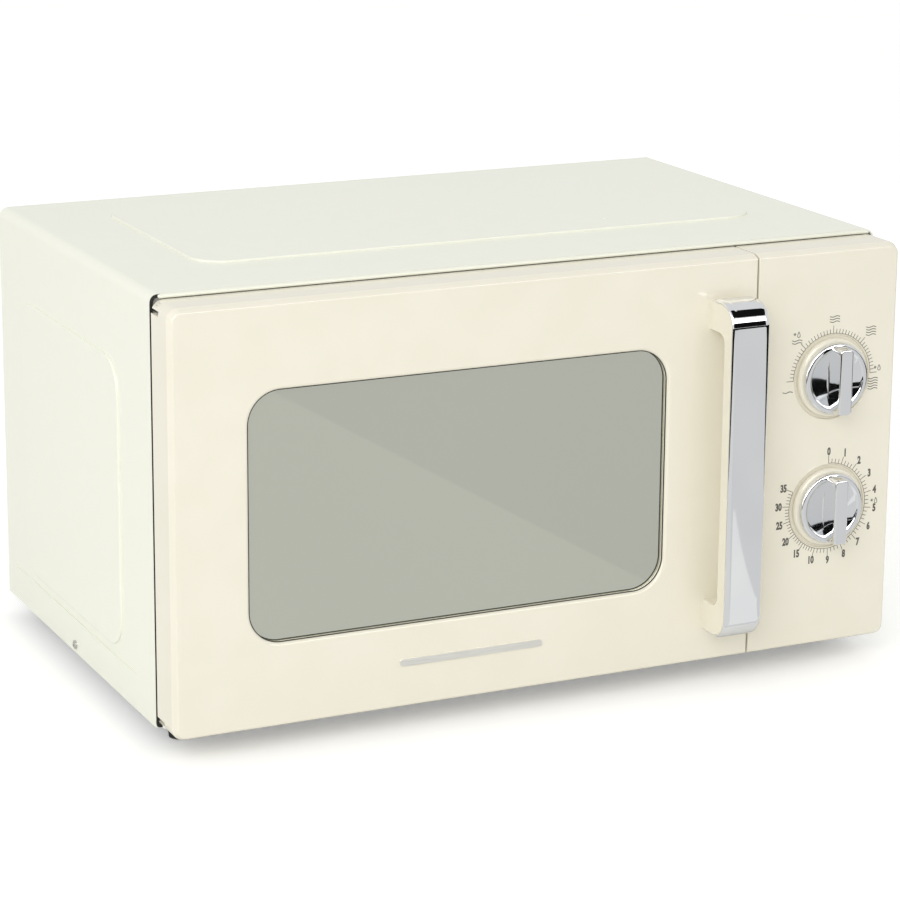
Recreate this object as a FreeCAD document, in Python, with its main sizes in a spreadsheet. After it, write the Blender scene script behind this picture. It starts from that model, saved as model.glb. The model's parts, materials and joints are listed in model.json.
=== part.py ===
"""A compact free-standing microwave oven, built as separate pieces.

Frame: origin under the middle of the oven at the level its feet stand on,
+X to the right seen from the front, +Y to the back, +Z up. Lengths in mm.
The door, the control panel and the handle are at the front, towards -Y.
"""
import FreeCAD, Part
import math
import os
import re

import Sketcher

Vector = FreeCAD.Vector

# ---------------------------------------------------------------- driving dimensions

DIMENSIONS = {
    # the whole oven
    "overall_width": 452, "case_height": 243, "case_depth": 266, "foot_height": 14,
    "bezel_thickness": 27, "bezel_gap": 2.6, "bezel_drop": 2.5, "bezel_lift": 0.7,
    "panel_width": 95, "seam": 1.2, "handle_reach": 27, "spacer_reach": 4.4,
    # clearances
    "fit": 0.2, "joint_gap": 0.3, "running_gap": 0.06,
    # outer case
    "case_sheet": 1.0, "bend_radius": 6, "rear_flange": 12,
    "emboss_height": 1.2, "emboss_corner": 20, "top_emboss_left": 52, "top_emboss_right": 42,
    "top_emboss_front": 60, "top_emboss_back": 40, "side_emboss_front": 52,
    "side_emboss_back": 40, "side_emboss_low": 27, "side_emboss_high": 48,
    "crease_level": 21.5, "crease_width": 1.6, "crease_depth": 0.5, "crease_end": 16,
    "louvre_length": 34, "louvre_width": 3, "louvre_pitch": 9, "louvre_count": 11,
    "louvre_margin": 14, "side_screw_back": 137, "side_screw_level": 5,
    # base plate, front frame and rear panel
    "frame_sheet": 1.2, "plate_inset": 1.0, "frame_rim": 12, "rear_rim": 5,
    "base_flange": 14,
    "base_vent_count": 8, "panel_hole_margin": 6, "panel_hole_ends": 20,
    # cooking cavity
    "cavity_sheet": 1.0, "cavity_margin": 20, "bay_margin": 30, "cavity_lift": 24,
    "cavity_headroom": 21, "cavity_back_gap": 8, "cavity_corner": 8,
    # door
    "front_wall": 3.6, "skirt_wall": 2.5, "bezel_corner": 7, "edge_band": 4.6,
    "edge_slope": 2.0, "edge_round": 1.6, "seam_round": 0.5,
    "window_left": 44, "window_width": 255, "window_low": 49, "window_high": 48.8,
    "window_corner": 19, "window_lip": 2.2, "glass_overlap": 8, "glass_thickness": 3,
    "choke_depth": 17, "choke_sheet": 1.0, "choke_left": 4.5, "choke_right": 11.8,
    "choke_low": 9.3, "choke_high": 7.9, "choke_corner": 14, "choke_wall_gap": 3,
    "choke_cover_thickness": 2.2, "screen_thickness": 0.8, "film_thickness": 0.8,
    "panel_post": 11, "screw_radius": 1.5, "screw_head_radius": 2.6,
    "screw_head_height": 1.8, "boss_radius": 3,
    # door hinge
    "hinge_side": 5, "hinge_ahead": 8, "pin_radius": 1.8, "hinge_plate": 2, "hinge_tail": 3.5,
    "hinge_flange_width": 14, "hinge_flange_height": 13, "hinge_inset": 2,
    "hinge_swing": 3.4,
    # door latch
    "latch_width": 4.4, "latch_travel": 3, "latch_edge_gap": 5.2, "latch_bar_depth": 8,
    "latch_upper": 40, "latch_lower": 44, "hook_height": 10, "hook_reach": 13,
    "hook_nose": 2.5, "latch_board_depth": 14, "switch_length": 28, "switch_depth": 16,
    "switch_thickness": 6.2, "plunger_radius": 1.5,
    # handle
    "handle_left": 325, "handle_width": 24, "handle_low": 20.6, "handle_high": 21.5,
    "handle_post": 19, "grip_thickness": 11, "handle_corner": 14, "trim_thickness": 2,
    "trim_start": 6.5, "trim_overhang": 0.4, "grip_corner": 6,
    # badge
    "badge_length": 88, "badge_height": 4, "badge_thickness": 0.8, "badge_x": 177,
    "badge_level": 28,
    # knobs
    "knob_x": 44, "power_level": 164, "timer_level": 86, "recess_radius": 25,
    "recess_depth": 1.2, "skirt_radius": 23.3, "skirt_rise": 2.6, "cap_radius": 21,
    "cap_rise": 3.4, "dish_radius": 18, "dish_depth": 2.6, "bar_width": 8.8,
    "bar_length": 39, "bar_reach": 16, "shaft_radius": 3,
    # timer and power unit
    "timer_width": 54, "timer_depth": 38, "timer_margin": 22, "bushing_radius": 5,
    "bell_radius": 17,
    # turntable
    "plate_radius": 122.5, "plate_thickness": 4.5, "plate_rim": 9, "plate_foot": 19,
    "coupler_radius": 14, "drive_radius": 4, "wheel_radius": 7, "wheel_width": 5,
    "ring_radius": 84, "ring_width": 5, "ring_height": 4, "wheel_count": 3,
    "axle_radius": 1.6, "motor_radius": 25, "motor_height": 17,
    # component bay
    "waveguide_depth": 26, "waveguide_front": 20, "waveguide_length": 92,
    "waveguide_drop": 12, "waveguide_height": 94, "port_length": 42, "port_height": 34,
    "magnetron_width": 54, "magnetron_depth": 72, "magnetron_height": 66,
    "fin_count": 7, "fin_sheet": 1.2, "antenna_radius": 9, "antenna_reach": 18,
    "fan_radius": 42, "fan_depth": 12, "shroud_wall": 2, "shroud_depth": 34,
    "core_width": 84, "core_stack": 50, "core_height": 68, "coil_bulge": 11,
    "capacitor_width": 50, "capacitor_height": 30, "capacitor_length": 72,
    "filter_width": 26, "fan_hub": 13, "fan_motor_depth": 20, "blade_count": 6,
    "blade_sheet": 1.4, "blade_chord": 12, "lamp_width": 26, "lamp_length": 24,
    "lamp_slots": 6, "spacer_x": 90, "spacer_level": 53, "spacer_radius": 6,
    "gland_tail": 6, "gland_flange": 2, "gland_back": 14, "gland_level": 34,
    "bushing_length": 8, "bell_depth": 9, "latch_slack": 1.6, "latch_rib": 1.5,
    "spring_pitch": 2.4, "spring_radius": 1.4, "spring_wire": 0.7, "spring_length": 12,
    "pin_bite": 1.2, "plate_lug": 3, "trim_edge": 1.2,
    "gland_radius": 7, "gland_bore": 3.6, "foot_radius": 8, "foot_side": 21, "foot_end": 18,
}

PLACES = {
    "half_width": "overall_width / 2",
    "half_depth": "(handle_reach + bezel_thickness + bezel_gap + case_depth + spacer_reach) / 2",
    "bezel_front": "handle_reach - half_depth",
    "bezel_rear": "bezel_front + bezel_thickness",
    "case_front": "bezel_rear + bezel_gap",
    "case_rear": "case_front + case_depth",
    "case_bottom": "foot_height",
    "case_top": "foot_height + case_height",
    "bezel_bottom": "case_bottom + bezel_lift",
    "bezel_top": "case_top - bezel_drop",
    "door_left": "-half_width",
    "panel_left": "half_width - panel_width",
    "door_right": "panel_left - seam",
    # sheet-metal frame
    "inner_half": "half_width - case_sheet - fit",
    "plate_front": "case_front + plate_inset",
    "plate_rear": "plate_front + frame_sheet",
    "frame_bottom": "case_bottom + frame_sheet + fit",
    "frame_top": "case_top - case_sheet - fit",
    "back_plate_rear": "case_rear - case_sheet - fit",
    "back_plate_front": "back_plate_rear - frame_sheet",
    "base_top": "case_bottom + frame_sheet",
    "side_screw_y": "case_front + side_screw_back",
    "side_screw_z": "case_bottom + side_screw_level",
    # cavity
    "cavity_left": "cavity_margin - half_width",
    "cavity_right": "panel_left - bay_margin",
    "cavity_floor": "case_bottom + cavity_lift",
    "cavity_ceiling": "case_top - cavity_headroom",
    "cavity_back": "case_rear - cavity_back_gap",
    "cavity_outer_right": "cavity_right + cavity_sheet",
    "turn_x": "(cavity_left + cavity_right) / 2",
    "turn_y": "(plate_rear + cavity_back) / 2",
    # door
    "shell_inside": "bezel_front + front_wall",
    "window_x0": "door_left + window_left",
    "window_x1": "window_x0 + window_width",
    "window_z0": "bezel_bottom + window_low",
    "window_z1": "bezel_top - window_high",
    "glass_front": "shell_inside + fit / 2",
    "choke_x0": "door_left + choke_left",
    "choke_x1": "door_right - choke_right",
    "choke_z0": "bezel_bottom + choke_low",
    "choke_z1": "bezel_top - choke_high",
    "choke_front": "choke_rear - choke_depth",
    "choke_rear": "bezel_rear - fit * 2",
    "lip_x0": "cavity_left - choke_wall_gap",
    "lip_x1": "cavity_right + choke_wall_gap",
    "lip_z0": "cavity_floor - choke_wall_gap",
    "lip_z1": "cavity_ceiling + choke_wall_gap",
    "pin_x": "door_left + hinge_side",
    "pin_y": "case_front - hinge_ahead",
    "pin_hole": "pin_radius + running_gap",
    # latch
    "latch_x1": "door_right - latch_edge_gap",
    "latch_x0": "latch_x1 - latch_width",
    "latch_x": "(latch_x0 + latch_x1) / 2",
    "hook_tip": "plate_rear + hook_reach",
    "board_rear": "plate_rear + fit + latch_board_depth",
    "upper_hook": "case_top - latch_upper",
    "lower_hook": "case_bottom + latch_lower",
    # handle
    "handle_x0": "door_left + handle_left",
    "handle_x1": "handle_x0 + handle_width",
    "handle_x": "(handle_x0 + handle_x1) / 2",
    "handle_z0": "case_bottom + handle_low",
    "handle_z1": "bezel_top - handle_high",
    "handle_front": "bezel_front - handle_reach",
    "grip_back": "handle_front + grip_thickness",
    "trim_inside": "handle_front + trim_thickness",
    # knobs
    "knob_centre": "half_width - knob_x",
    "power_z": "case_bottom + power_level",
    "timer_z": "case_bottom + timer_level",
    "recess_floor": "bezel_front + recess_depth",
    # timer unit
    "timer_front": "plate_rear + fit + frame_sheet",
    "timer_rear": "timer_front + timer_depth",
    # turntable
    "wheel_z": "cavity_floor + joint_gap + wheel_radius",
    "plate_under": "wheel_z + wheel_radius + joint_gap",
    "wheel_r": "ring_radius + ring_width / 2 + joint_gap + wheel_width / 2",
    "motor_top": "cavity_floor - cavity_sheet - fit",
    # component bay
    "bay_left": "cavity_outer_right + fit",
    "guide_right": "bay_left + waveguide_depth",
    "guide_z1": "cavity_ceiling - waveguide_drop",
    "guide_z0": "guide_z1 - waveguide_height",
    "tube_y": "waveguide_front + waveguide_length / 2",
    "tube_z": "guide_z1 - magnetron_height / 2 + fit",
    "tube_left": "guide_right + fit",
    "fan_x": "(bay_left + inner_half) / 2",
    "fan_z": "tube_z - 4",
    "core_y": "back_plate_front - frame_rim - core_stack / 2 - coil_bulge - 40",
    "capacitor_y": "plate_rear + frame_rim + 6",
    "port_y": "waveguide_front + 8",
    "port_z": "guide_z0 + 8",
    "lamp_y": "waveguide_front - 40",
    "lamp_z": "cavity_ceiling - 30",
    "outlet_x": "cavity_left + 30",
    "outlet_z": "cavity_floor + 40",
    "gland_x": "half_width - gland_back * 2",
    "gland_z": "case_bottom + gland_level",
    "filter_face": "back_plate_front - 14",
    "cut_out_z": "tube_z + magnetron_height / 2 + fit",
    "spacer_z": "case_top - spacer_level",
    "rear_screw_low": "case_bottom + 40",
    "rear_screw_high": "case_top - 40",
    "pin_low_end": "bezel_bottom + skirt_wall - pin_bite",
    "pin_high_end": "bezel_top - skirt_wall + pin_bite",
    "latch_front": "shell_inside + fit * 2",
    "spring_foot": "upper_hook + hook_height + 6 + fit",
    "spring_top": "spring_foot + spring_length",
    "shaft_end": "timer_front + 14",
}

doc = FreeCAD.newDocument("microwave_oven")
sheet = doc.addObject("Spreadsheet::Sheet", "Dims")
for row, (alias, number) in enumerate(DIMENSIONS.items(), 1):
    sheet.set(f"A{row}", alias)
    sheet.set(f"B{row}", str(number))
    sheet.setAlias(f"B{row}", alias)
doc.recompute()
reader = doc.addObject("App::FeaturePython", "Reader")

subparts = []


def bound(text):
    """The expression in text, with every name led back to cells of the sheet."""
    def lookup(match):
        name = match.group(0)
        if name in PLACES:
            return "(" + bound(PLACES[name]) + ")"
        return "Dims." + name if name in DIMENSIONS else name
    return re.sub(r"[A-Za-z_]\w*", lookup, str(text))


def size(text):
    """The number that an expression stands for now."""
    return float(reader.evalExpression(bound(text)))


# ---------------------------------------------------------------- sketch outlines

def pin_point(sketch, geometry, end, x, y):
    """Fix one point of a sketch at the expressions x and y."""
    for kind, text in (("DistanceX", x), ("DistanceY", y)):
        number = sketch.addConstraint(
            Sketcher.Constraint(kind, -1, 1, geometry, end, size(text)))
        sketch.setExpression(f"Constraints[{number}]", bound(text))


def polygon(*points):
    """A closed outline of straight lines through the points (x, y)."""
    def draw(sketch):
        first = sketch.GeometryCount
        corners = [Vector(size(x), size(y), 0) for x, y in points]
        count = len(corners)
        for index, corner in enumerate(corners):
            sketch.addGeometry(Part.LineSegment(corner, corners[(index + 1) % count]), False)
        for index in range(count):
            sketch.addConstraint(Sketcher.Constraint(
                "Coincident", first + index, 2, first + (index + 1) % count, 1))
        for index, (x, y) in enumerate(points):
            pin_point(sketch, first + index, 1, x, y)
    return draw


def rectangle(x, y):
    """A rectangle between the two limits in x and the two in y."""
    return polygon((x[0], y[0]), (x[1], y[0]), (x[1], y[1]), (x[0], y[1]))


def circle(x, y, radius):
    """A circle about the point (x, y)."""
    def draw(sketch):
        centre = Vector(size(x), size(y), 0)
        ring = sketch.addGeometry(Part.Circle(centre, Vector(0, 0, 1), size(radius)), False)
        pin_point(sketch, ring, 3, x, y)
        number = sketch.addConstraint(Sketcher.Constraint("Radius", ring, size(radius)))
        sketch.setExpression(f"Constraints[{number}]", bound(radius))
    return draw


def rounded(x, y, radius):
    """A rectangle with four equal round corners."""
    def draw(sketch):
        x0, x1, y0, y1, r = size(x[0]), size(x[1]), size(y[0]), size(y[1]), size(radius)
        up = Vector(0, 0, 1)
        quarter = math.pi / 2
        sides = [((x0 + r, y0), (x1 - r, y0)), ((x1, y0 + r), (x1, y1 - r)),
                 ((x1 - r, y1), (x0 + r, y1)), ((x0, y1 - r), (x0, y0 + r))]
        centres = [(x1 - r, y0 + r), (x1 - r, y1 - r), (x0 + r, y1 - r), (x0 + r, y0 + r)]
        first = sketch.GeometryCount
        for turn, (side, centre) in enumerate(zip(sides, centres)):
            sketch.addGeometry(Part.LineSegment(Vector(*side[0], 0), Vector(*side[1], 0)), False)
            corner = Part.Circle(Vector(*centre, 0), up, r)
            sketch.addGeometry(
                Part.ArcOfCircle(corner, (turn - 1) * quarter, turn * quarter), False)
        for index in range(8):
            sketch.addConstraint(Sketcher.Constraint(
                "Tangent", first + index, 2, first + (index + 1) % 8, 1))
        for index, kind in ((0, "Horizontal"), (2, "Vertical"), (4, "Horizontal"),
                            (6, "Vertical")):
            sketch.addConstraint(Sketcher.Constraint(kind, first + index))
        for index in (3, 5, 7):
            sketch.addConstraint(Sketcher.Constraint("Equal", first + 1, first + index))
        fixed = [("Radius", (first + 1,), radius),
                 ("DistanceX", (-1, 1, first + 6, 1), x[0]),
                 ("DistanceX", (-1, 1, first + 2, 1), x[1]),
                 ("DistanceY", (-1, 1, first, 1), y[0]),
                 ("DistanceY", (-1, 1, first + 4, 1), y[1])]
        for kind, where, text in fixed:
            number = sketch.addConstraint(Sketcher.Constraint(kind, *where, size(text)))
            sketch.setExpression(f"Constraints[{number}]", bound(text))
    return draw


# ---------------------------------------------------------------- bodies of features

# each origin plane, and whether its normal points along or against the world axis
PLANES = {"XY": ("XY_Plane", 1), "XZ": ("XZ_Plane", -1), "YZ": ("YZ_Plane", 1)}


class Piece:
    """A sub-part made as a PartDesign body, drawn about its own origin."""

    def __init__(self, label, at=("0", "0", "0")):
        self.body = doc.addObject("PartDesign::Body", label)
        self.body.Label = label
        for axis, text in zip("xyz", at):
            self.body.setExpression(f"Placement.Base.{axis}", bound(text))
        self.volume = 0
        subparts.append(self.body)

    def add(self, kind):
        """A new feature at the end of the body."""
        return self.body.newObject(kind, self.body.Label + "_" + kind.split("::")[1])

    def sketch(self, plane, level, *outlines, origin=("0", "0")):
        """A sketch at a level along a plane's normal, with its origin shifted in the plane."""
        role, sense = PLANES[plane]
        drawn = self.add("Sketcher::SketchObject")
        base = next(item for item in self.body.Origin.OriginFeatures if item.Role == role)
        drawn.AttachmentSupport = (base, [""])
        drawn.MapMode = "FlatFace"
        drawn.setExpression("AttachmentOffset.Base.x", bound(origin[0]))
        drawn.setExpression("AttachmentOffset.Base.y", bound(origin[1]))
        drawn.setExpression("AttachmentOffset.Base.z", bound(f"{sense} * ({level})"))
        for outline in outlines:
            outline(drawn)
        return drawn

    def pad(self, plane, span, *outlines):
        """Fill the outlines between the two levels of span."""
        start = span[0] if PLANES[plane][1] > 0 else span[1]
        feature = self.add("PartDesign::Pad")
        feature.Profile = self.sketch(plane, start, *outlines)
        feature.setExpression("Length", bound(f"{span[1]} - ({span[0]})"))
        return self.grown(feature)

    def pocket(self, plane, span, *outlines):
        """Empty the outlines between the two levels of span."""
        start = span[1] if PLANES[plane][1] > 0 else span[0]
        feature = self.add("PartDesign::Pocket")
        feature.Profile = self.sketch(plane, start, *outlines)
        feature.setExpression("Length", bound(f"{span[1]} - ({span[0]})"))
        return self.shrunk(feature)

    def turned(self, plane, level, origin, axis, *points):
        """Revolve a closed outline about the sketch's own H or V axis."""
        feature = self.add("PartDesign::Revolution")
        drawn = self.sketch(plane, level, polygon(*points), origin=origin)
        feature.Profile = drawn
        feature.ReferenceAxis = (drawn, [axis + "_Axis"])
        feature.Angle = 360
        return self.grown(feature)

    def row(self, cut, axis, pitch, count):
        """Repeat a cut along its sketch's H or V axis."""
        feature = self.add("PartDesign::LinearPattern")
        feature.Originals = [cut]
        feature.Direction = (cut.Profile[0], [axis + "_Axis"])
        feature.setExpression("Length", bound(f"{pitch} * ({count} - 1)"))
        feature.setExpression("Occurrences", bound(count))
        self.body.Tip = feature
        return self.shrunk(feature)

    def soften(self, radius, test, kind="Fillet"):
        """Round or chamfer the edges whose box passes the test."""
        base = self.body.Tip
        names = [f"Edge{number}" for number, edge in enumerate(base.Shape.Edges, 1)
                 if test(edge.BoundBox)]
        if not names:
            raise RuntimeError(f"{self.body.Label}: no edge to soften")
        feature = self.add("PartDesign::" + kind)
        feature.Base = (base, names)
        feature.setExpression("Radius" if kind == "Fillet" else "Size", bound(radius))
        doc.recompute()
        self.volume = feature.Shape.Volume
        return feature

    def grown(self, feature):
        """Recompute, and check that the body gained material."""
        return self.compared(feature, 1)

    def shrunk(self, feature):
        """Recompute, and check that the body lost material."""
        return self.compared(feature, -1)

    def compared(self, feature, sense):
        doc.recompute()
        if sense * (feature.Shape.Volume - self.volume) <= 0:
            raise RuntimeError(f"{feature.Label} changed nothing")
        self.volume = feature.Shape.Volume
        return feature


def same(a, b):
    """Two lengths that agree within a hundredth."""
    return abs(a - b) < 0.01


def flat(box, **levels):
    """Whether an edge's box lies wholly at a level, such as y=3."""
    ends = {"x": (box.XMin, box.XMax), "y": (box.YMin, box.YMax), "z": (box.ZMin, box.ZMax)}
    return all(same(end, level) for axis, level in levels.items() for end in ends[axis])


def runs(box, axis):
    """Whether an edge is straight along an axis."""
    lengths = {"x": box.XLength, "y": box.YLength, "z": box.ZLength}
    return lengths.pop(axis) > 0.1 and all(length < 0.01 for length in lengths.values())


# ---------------------------------------------------------------- primitives

TURNS = {"X": FreeCAD.Rotation(Vector(0, 1, 0), 90), "Y": FreeCAD.Rotation(Vector(1, 0, 0), -90),
         "Z": FreeCAD.Rotation()}


def seat(shape, x, y, z):
    """Bind an object's place to three expressions."""
    for axis, text in zip("xyz", (x, y, z)):
        shape.setExpression(f"Placement.Base.{axis}", bound(text))
    return shape


def block(x, y, z):
    """A box between two limits along each axis."""
    shape = doc.addObject("Part::Box", "block")
    for side, limits in (("Length", x), ("Width", y), ("Height", z)):
        shape.setExpression(side, bound(f"{limits[1]} - ({limits[0]})"))
    return seat(shape, x[0], y[0], z[0])


def rod(axis, span, across, radius, end_radius=None):
    """A round bar along an axis, or a cone if its far radius differs."""
    kind = "Part::Cylinder" if end_radius is None else "Part::Cone"
    shape = doc.addObject(kind, "rod")
    shape.Placement = FreeCAD.Placement(Vector(), TURNS[axis])
    shape.setExpression("Height", bound(f"{span[1]} - ({span[0]})"))
    if end_radius is None:
        shape.setExpression("Radius", bound(radius))
    else:
        shape.setExpression("Radius1", bound(radius))
        shape.setExpression("Radius2", bound(end_radius))
    place = {"X": (span[0], *across), "Y": (across[0], span[0], across[1]),
             "Z": (*across, span[0])}[axis]
    return seat(shape, *place)


def joined(*shapes):
    """One solid from several."""
    shape = doc.addObject("Part::MultiFuse", "joined")
    shape.Shapes = list(shapes)
    return shape


def minus(base, *tools):
    """A solid with others cut out of it."""
    for tool in tools:
        cut = doc.addObject("Part::Cut", "cut")
        cut.Base = base
        cut.Tool = tool
        base = cut
    return base


def sub_part(label, *shapes):
    """Name the finished sub-part, as a group where it has several solids."""
    shape = shapes[0]
    if len(shapes) > 1:
        shape = doc.addObject("Part::Compound", label)
        shape.Links = list(shapes)
    shape.Label = label
    subparts.append(shape)
    return shape


def screw(axis, head, point, across, sense):
    """A screw: a domed head at one level and a shank to another; sense is the way it points."""
    top = f"{head} - ({sense}) * screw_head_height"
    head_span = (top, head) if sense > 0 else (head, top)
    shank_span = (head, point) if sense > 0 else (point, head)
    return joined(rod(axis, head_span, across, "screw_head_radius"),
                  rod(axis, shank_span, across, "screw_radius"))


# ---------------------------------------------------------------- case and frame

def outer_case():
    """The wrap: one steel sheet over the top and both sides, with a flange at the back."""
    case = Piece("outer_case")
    case.pad("XZ", ("case_front", "case_rear"),
             rectangle(("-half_width", "half_width"), ("case_bottom", "case_top")))
    top = size("case_top")
    case.soften("bend_radius", lambda box: runs(box, "y") and same(box.ZMax, top))
    case.pocket("XZ", ("case_front", "case_rear - case_sheet"),
                rounded(("case_sheet - half_width", "half_width - case_sheet"),
                        ("case_bottom - 2 * bend_radius", "case_top - case_sheet"),
                        "bend_radius - case_sheet"))
    inset = "half_width - case_sheet - rear_flange"
    case.pocket("XZ", ("case_rear - case_sheet", "case_rear"),
                rectangle((f"-({inset})", inset),
                          ("case_bottom - 1", "case_top - case_sheet - rear_flange")))
    raised_panels(case)
    slot_y = "case_rear - side_emboss_back - emboss_corner"
    slot_top = "case_top - side_emboss_high - louvre_margin"
    louvre = case.pocket(
        "YZ", ("half_width - 2 * case_sheet", "half_width + 2 * emboss_height"),
        rectangle((f"{slot_y} - louvre_pitch * louvre_count",
                   f"{slot_y} - louvre_pitch * louvre_count + louvre_width"),
                  (f"{slot_top} - louvre_length", slot_top)))
    case.row(louvre, "H", "louvre_pitch", "louvre_count")
    for side in (-1, 1):
        limits = ("half_width - 2 * case_sheet", "half_width + case_sheet")
        if side < 0:
            limits = (f"-({limits[1]})", f"-({limits[0]})")
        case.pocket("YZ", limits, circle("side_screw_y", "side_screw_z", "screw_radius + fit"))
    crease(case)


def crease(case):
    """A shallow level groove pressed along the foot of each side."""
    level = "case_bottom + crease_level"
    for side in (-1, 1):
        limits = ("half_width - crease_depth", "half_width + case_sheet")
        if side < 0:
            limits = (f"-({limits[1]})", f"-({limits[0]})")
        case.pocket("YZ", limits, rectangle(
            ("case_front + 2 * crease_end", "case_rear - crease_end"),
            (f"{level} - crease_width / 2", f"{level} + crease_width / 2")))


def raised_panels(case):
    """The pressed panels of the top and sides, hollow behind like the sheet they are."""
    top_x = ("top_emboss_left - half_width", "half_width - top_emboss_right")
    top_y = ("case_front + top_emboss_front", "case_rear - top_emboss_back")
    side_y = ("case_front + side_emboss_front", "case_rear - side_emboss_back")
    side_z = ("case_bottom + side_emboss_low", "case_top - side_emboss_high")
    hollow = "emboss_corner - case_sheet"

    def inset(limits):
        return (f"{limits[0]} + case_sheet", f"{limits[1]} - case_sheet")

    case.pad("XY", ("case_top - case_sheet / 2", "case_top + emboss_height"),
             rounded(top_x, top_y, "emboss_corner"))
    case.pocket("XY", ("case_top - 2 * case_sheet", "case_top - case_sheet + emboss_height"),
                rounded(inset(top_x), inset(top_y), hollow))
    for side in (-1, 1):
        outside = ("half_width - case_sheet / 2", "half_width + emboss_height")
        inside = ("half_width - 2 * case_sheet", "half_width - case_sheet + emboss_height")
        if side < 0:
            outside = (f"-({outside[1]})", f"-({outside[0]})")
            inside = (f"-({inside[1]})", f"-({inside[0]})")
        case.pad("YZ", outside, rounded(side_y, side_z, "emboss_corner"))
        case.pocket("YZ", inside, rounded(inset(side_y), inset(side_z), hollow))
    high = size("case_top + emboss_height")
    wide = size("half_width + emboss_height")
    case.soften("emboss_height * 0.7", lambda box: (
        flat(box, z=high) or flat(box, x=wide) or flat(box, x=-wide)))


def base_plate():
    """The floor pan, with a flange up each side and vents under the component bay."""
    base = Piece("base_plate")
    ends = ("plate_rear + frame_rim + fit", "back_plate_front - frame_rim - fit")
    base.pad("XY", ("case_bottom", "base_top"),
             rectangle(("-inner_half", "inner_half"), ("plate_front", "back_plate_rear")))
    for sense in (-1, 1):
        flange = ("inner_half - frame_sheet", "inner_half")
        if sense < 0:
            flange = (f"-({flange[1]})", f"-({flange[0]})")
        base.pad("XY", ("case_bottom + frame_sheet / 2", "case_bottom + base_flange"),
                 rectangle(flange, ends))
        limits = (f"{flange[0]} - 1", f"{flange[1]} + 1")
        base.pocket("YZ", limits, circle("side_screw_y", "side_screw_z", "screw_radius + fit"))
    vent = base.pocket("XY", ("case_bottom - 1", "base_top + 1"),
                       rectangle(("bay_left + louvre_pitch", "bay_left + louvre_pitch + louvre_width"),
                                 ("back_plate_front - 2 * louvre_length",
                                  "back_plate_front - louvre_length")))
    base.row(vent, "H", "louvre_pitch", "base_vent_count")
    base.pocket("XY", ("case_bottom - 1", "base_top + 1"),
                circle("turn_x", "turn_y", "motor_radius / 2"))


def frame_outline(inset):
    """The outline that fits inside the wrap, drawn in by an inset."""
    return rounded((f"{inset} - inner_half", f"inner_half - {inset}"),
                   (f"frame_bottom + {inset}", f"frame_top - {inset}"),
                   f"bend_radius - {inset}")


def front_frame():
    """The steel face of the cabinet: cavity mouth, latch slots, hinge slots, panel opening."""
    frame = Piece("front_frame")
    frame.pad("XZ", ("plate_front", "plate_rear + frame_rim"), frame_outline("0"))
    frame.pocket("XZ", ("plate_rear", "plate_rear + frame_rim"), frame_outline("frame_sheet"))
    through = ("plate_front - 1", "plate_rear + 1")
    frame.pocket("XZ", through,
                 rounded(("cavity_left", "cavity_right"), ("cavity_floor", "cavity_ceiling"),
                         "cavity_corner"))
    frame.pocket("XZ", through,
                 rounded(("panel_left + panel_hole_margin", "half_width - panel_hole_margin - 1"),
                         ("frame_bottom + panel_hole_ends", "frame_top - panel_hole_ends"),
                         "cavity_corner"))
    for hook in ("upper_hook", "lower_hook"):
        frame.pocket("XZ", through,
                     rectangle(("latch_x0 - latch_slack", "latch_x1 + latch_slack"),
                               (f"{hook} - hook_nose - latch_slack",
                                f"{hook} + hook_height + latch_travel + latch_slack")))
    for low, high in hinge_levels():
        frame.pocket("XZ", through,
                     rectangle(("frame_sheet + fit - inner_half", "pin_x + hinge_tail + fit"),
                               (f"{low} - fit / 2", f"{high} + fit / 2")))


def hinge_levels():
    """The lower and upper faces of the two hinge plates, bottom hinge first."""
    gap = "skirt_wall + hinge_inset"
    return ((f"bezel_bottom + {gap}", f"bezel_bottom + {gap} + hinge_plate"),
            (f"bezel_top - ({gap}) - hinge_plate", f"bezel_top - ({gap})"))


def hinges():
    """A plate through the front frame at each end of the door, with an upright pin."""
    for name, sense, (low, high) in zip(("lower_hinge", "upper_hinge"), (-1, 1), hinge_levels()):
        hinge = Piece(name)
        hinge.pad("XY", (low, high),
                  rectangle(("frame_sheet + fit * 2 - inner_half", "pin_x + hinge_tail"),
                            ("pin_y", "plate_rear + fit + frame_sheet")))
        hinge.pad("XY", (low, high), circle("pin_x", "pin_y", "pin_radius + frame_sheet"))
        flange = (f"{high} - hinge_flange_height", high) if sense > 0 else (
            low, f"{low} + hinge_flange_height")
        left = "frame_sheet + fit * 2 - inner_half"
        hinge.pad("XZ", ("plate_rear + fit / 2", "plate_rear + fit / 2 + frame_sheet"),
                  rectangle((left, f"{left} + hinge_flange_width"), flange))
        pin = ((high, f"{high} + hinge_inset + pin_bite") if sense > 0 else
               (f"{low} - hinge_inset - pin_bite", low))
        hinge.pad("XY", pin, circle("pin_x", "pin_y", "pin_radius"))


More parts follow.
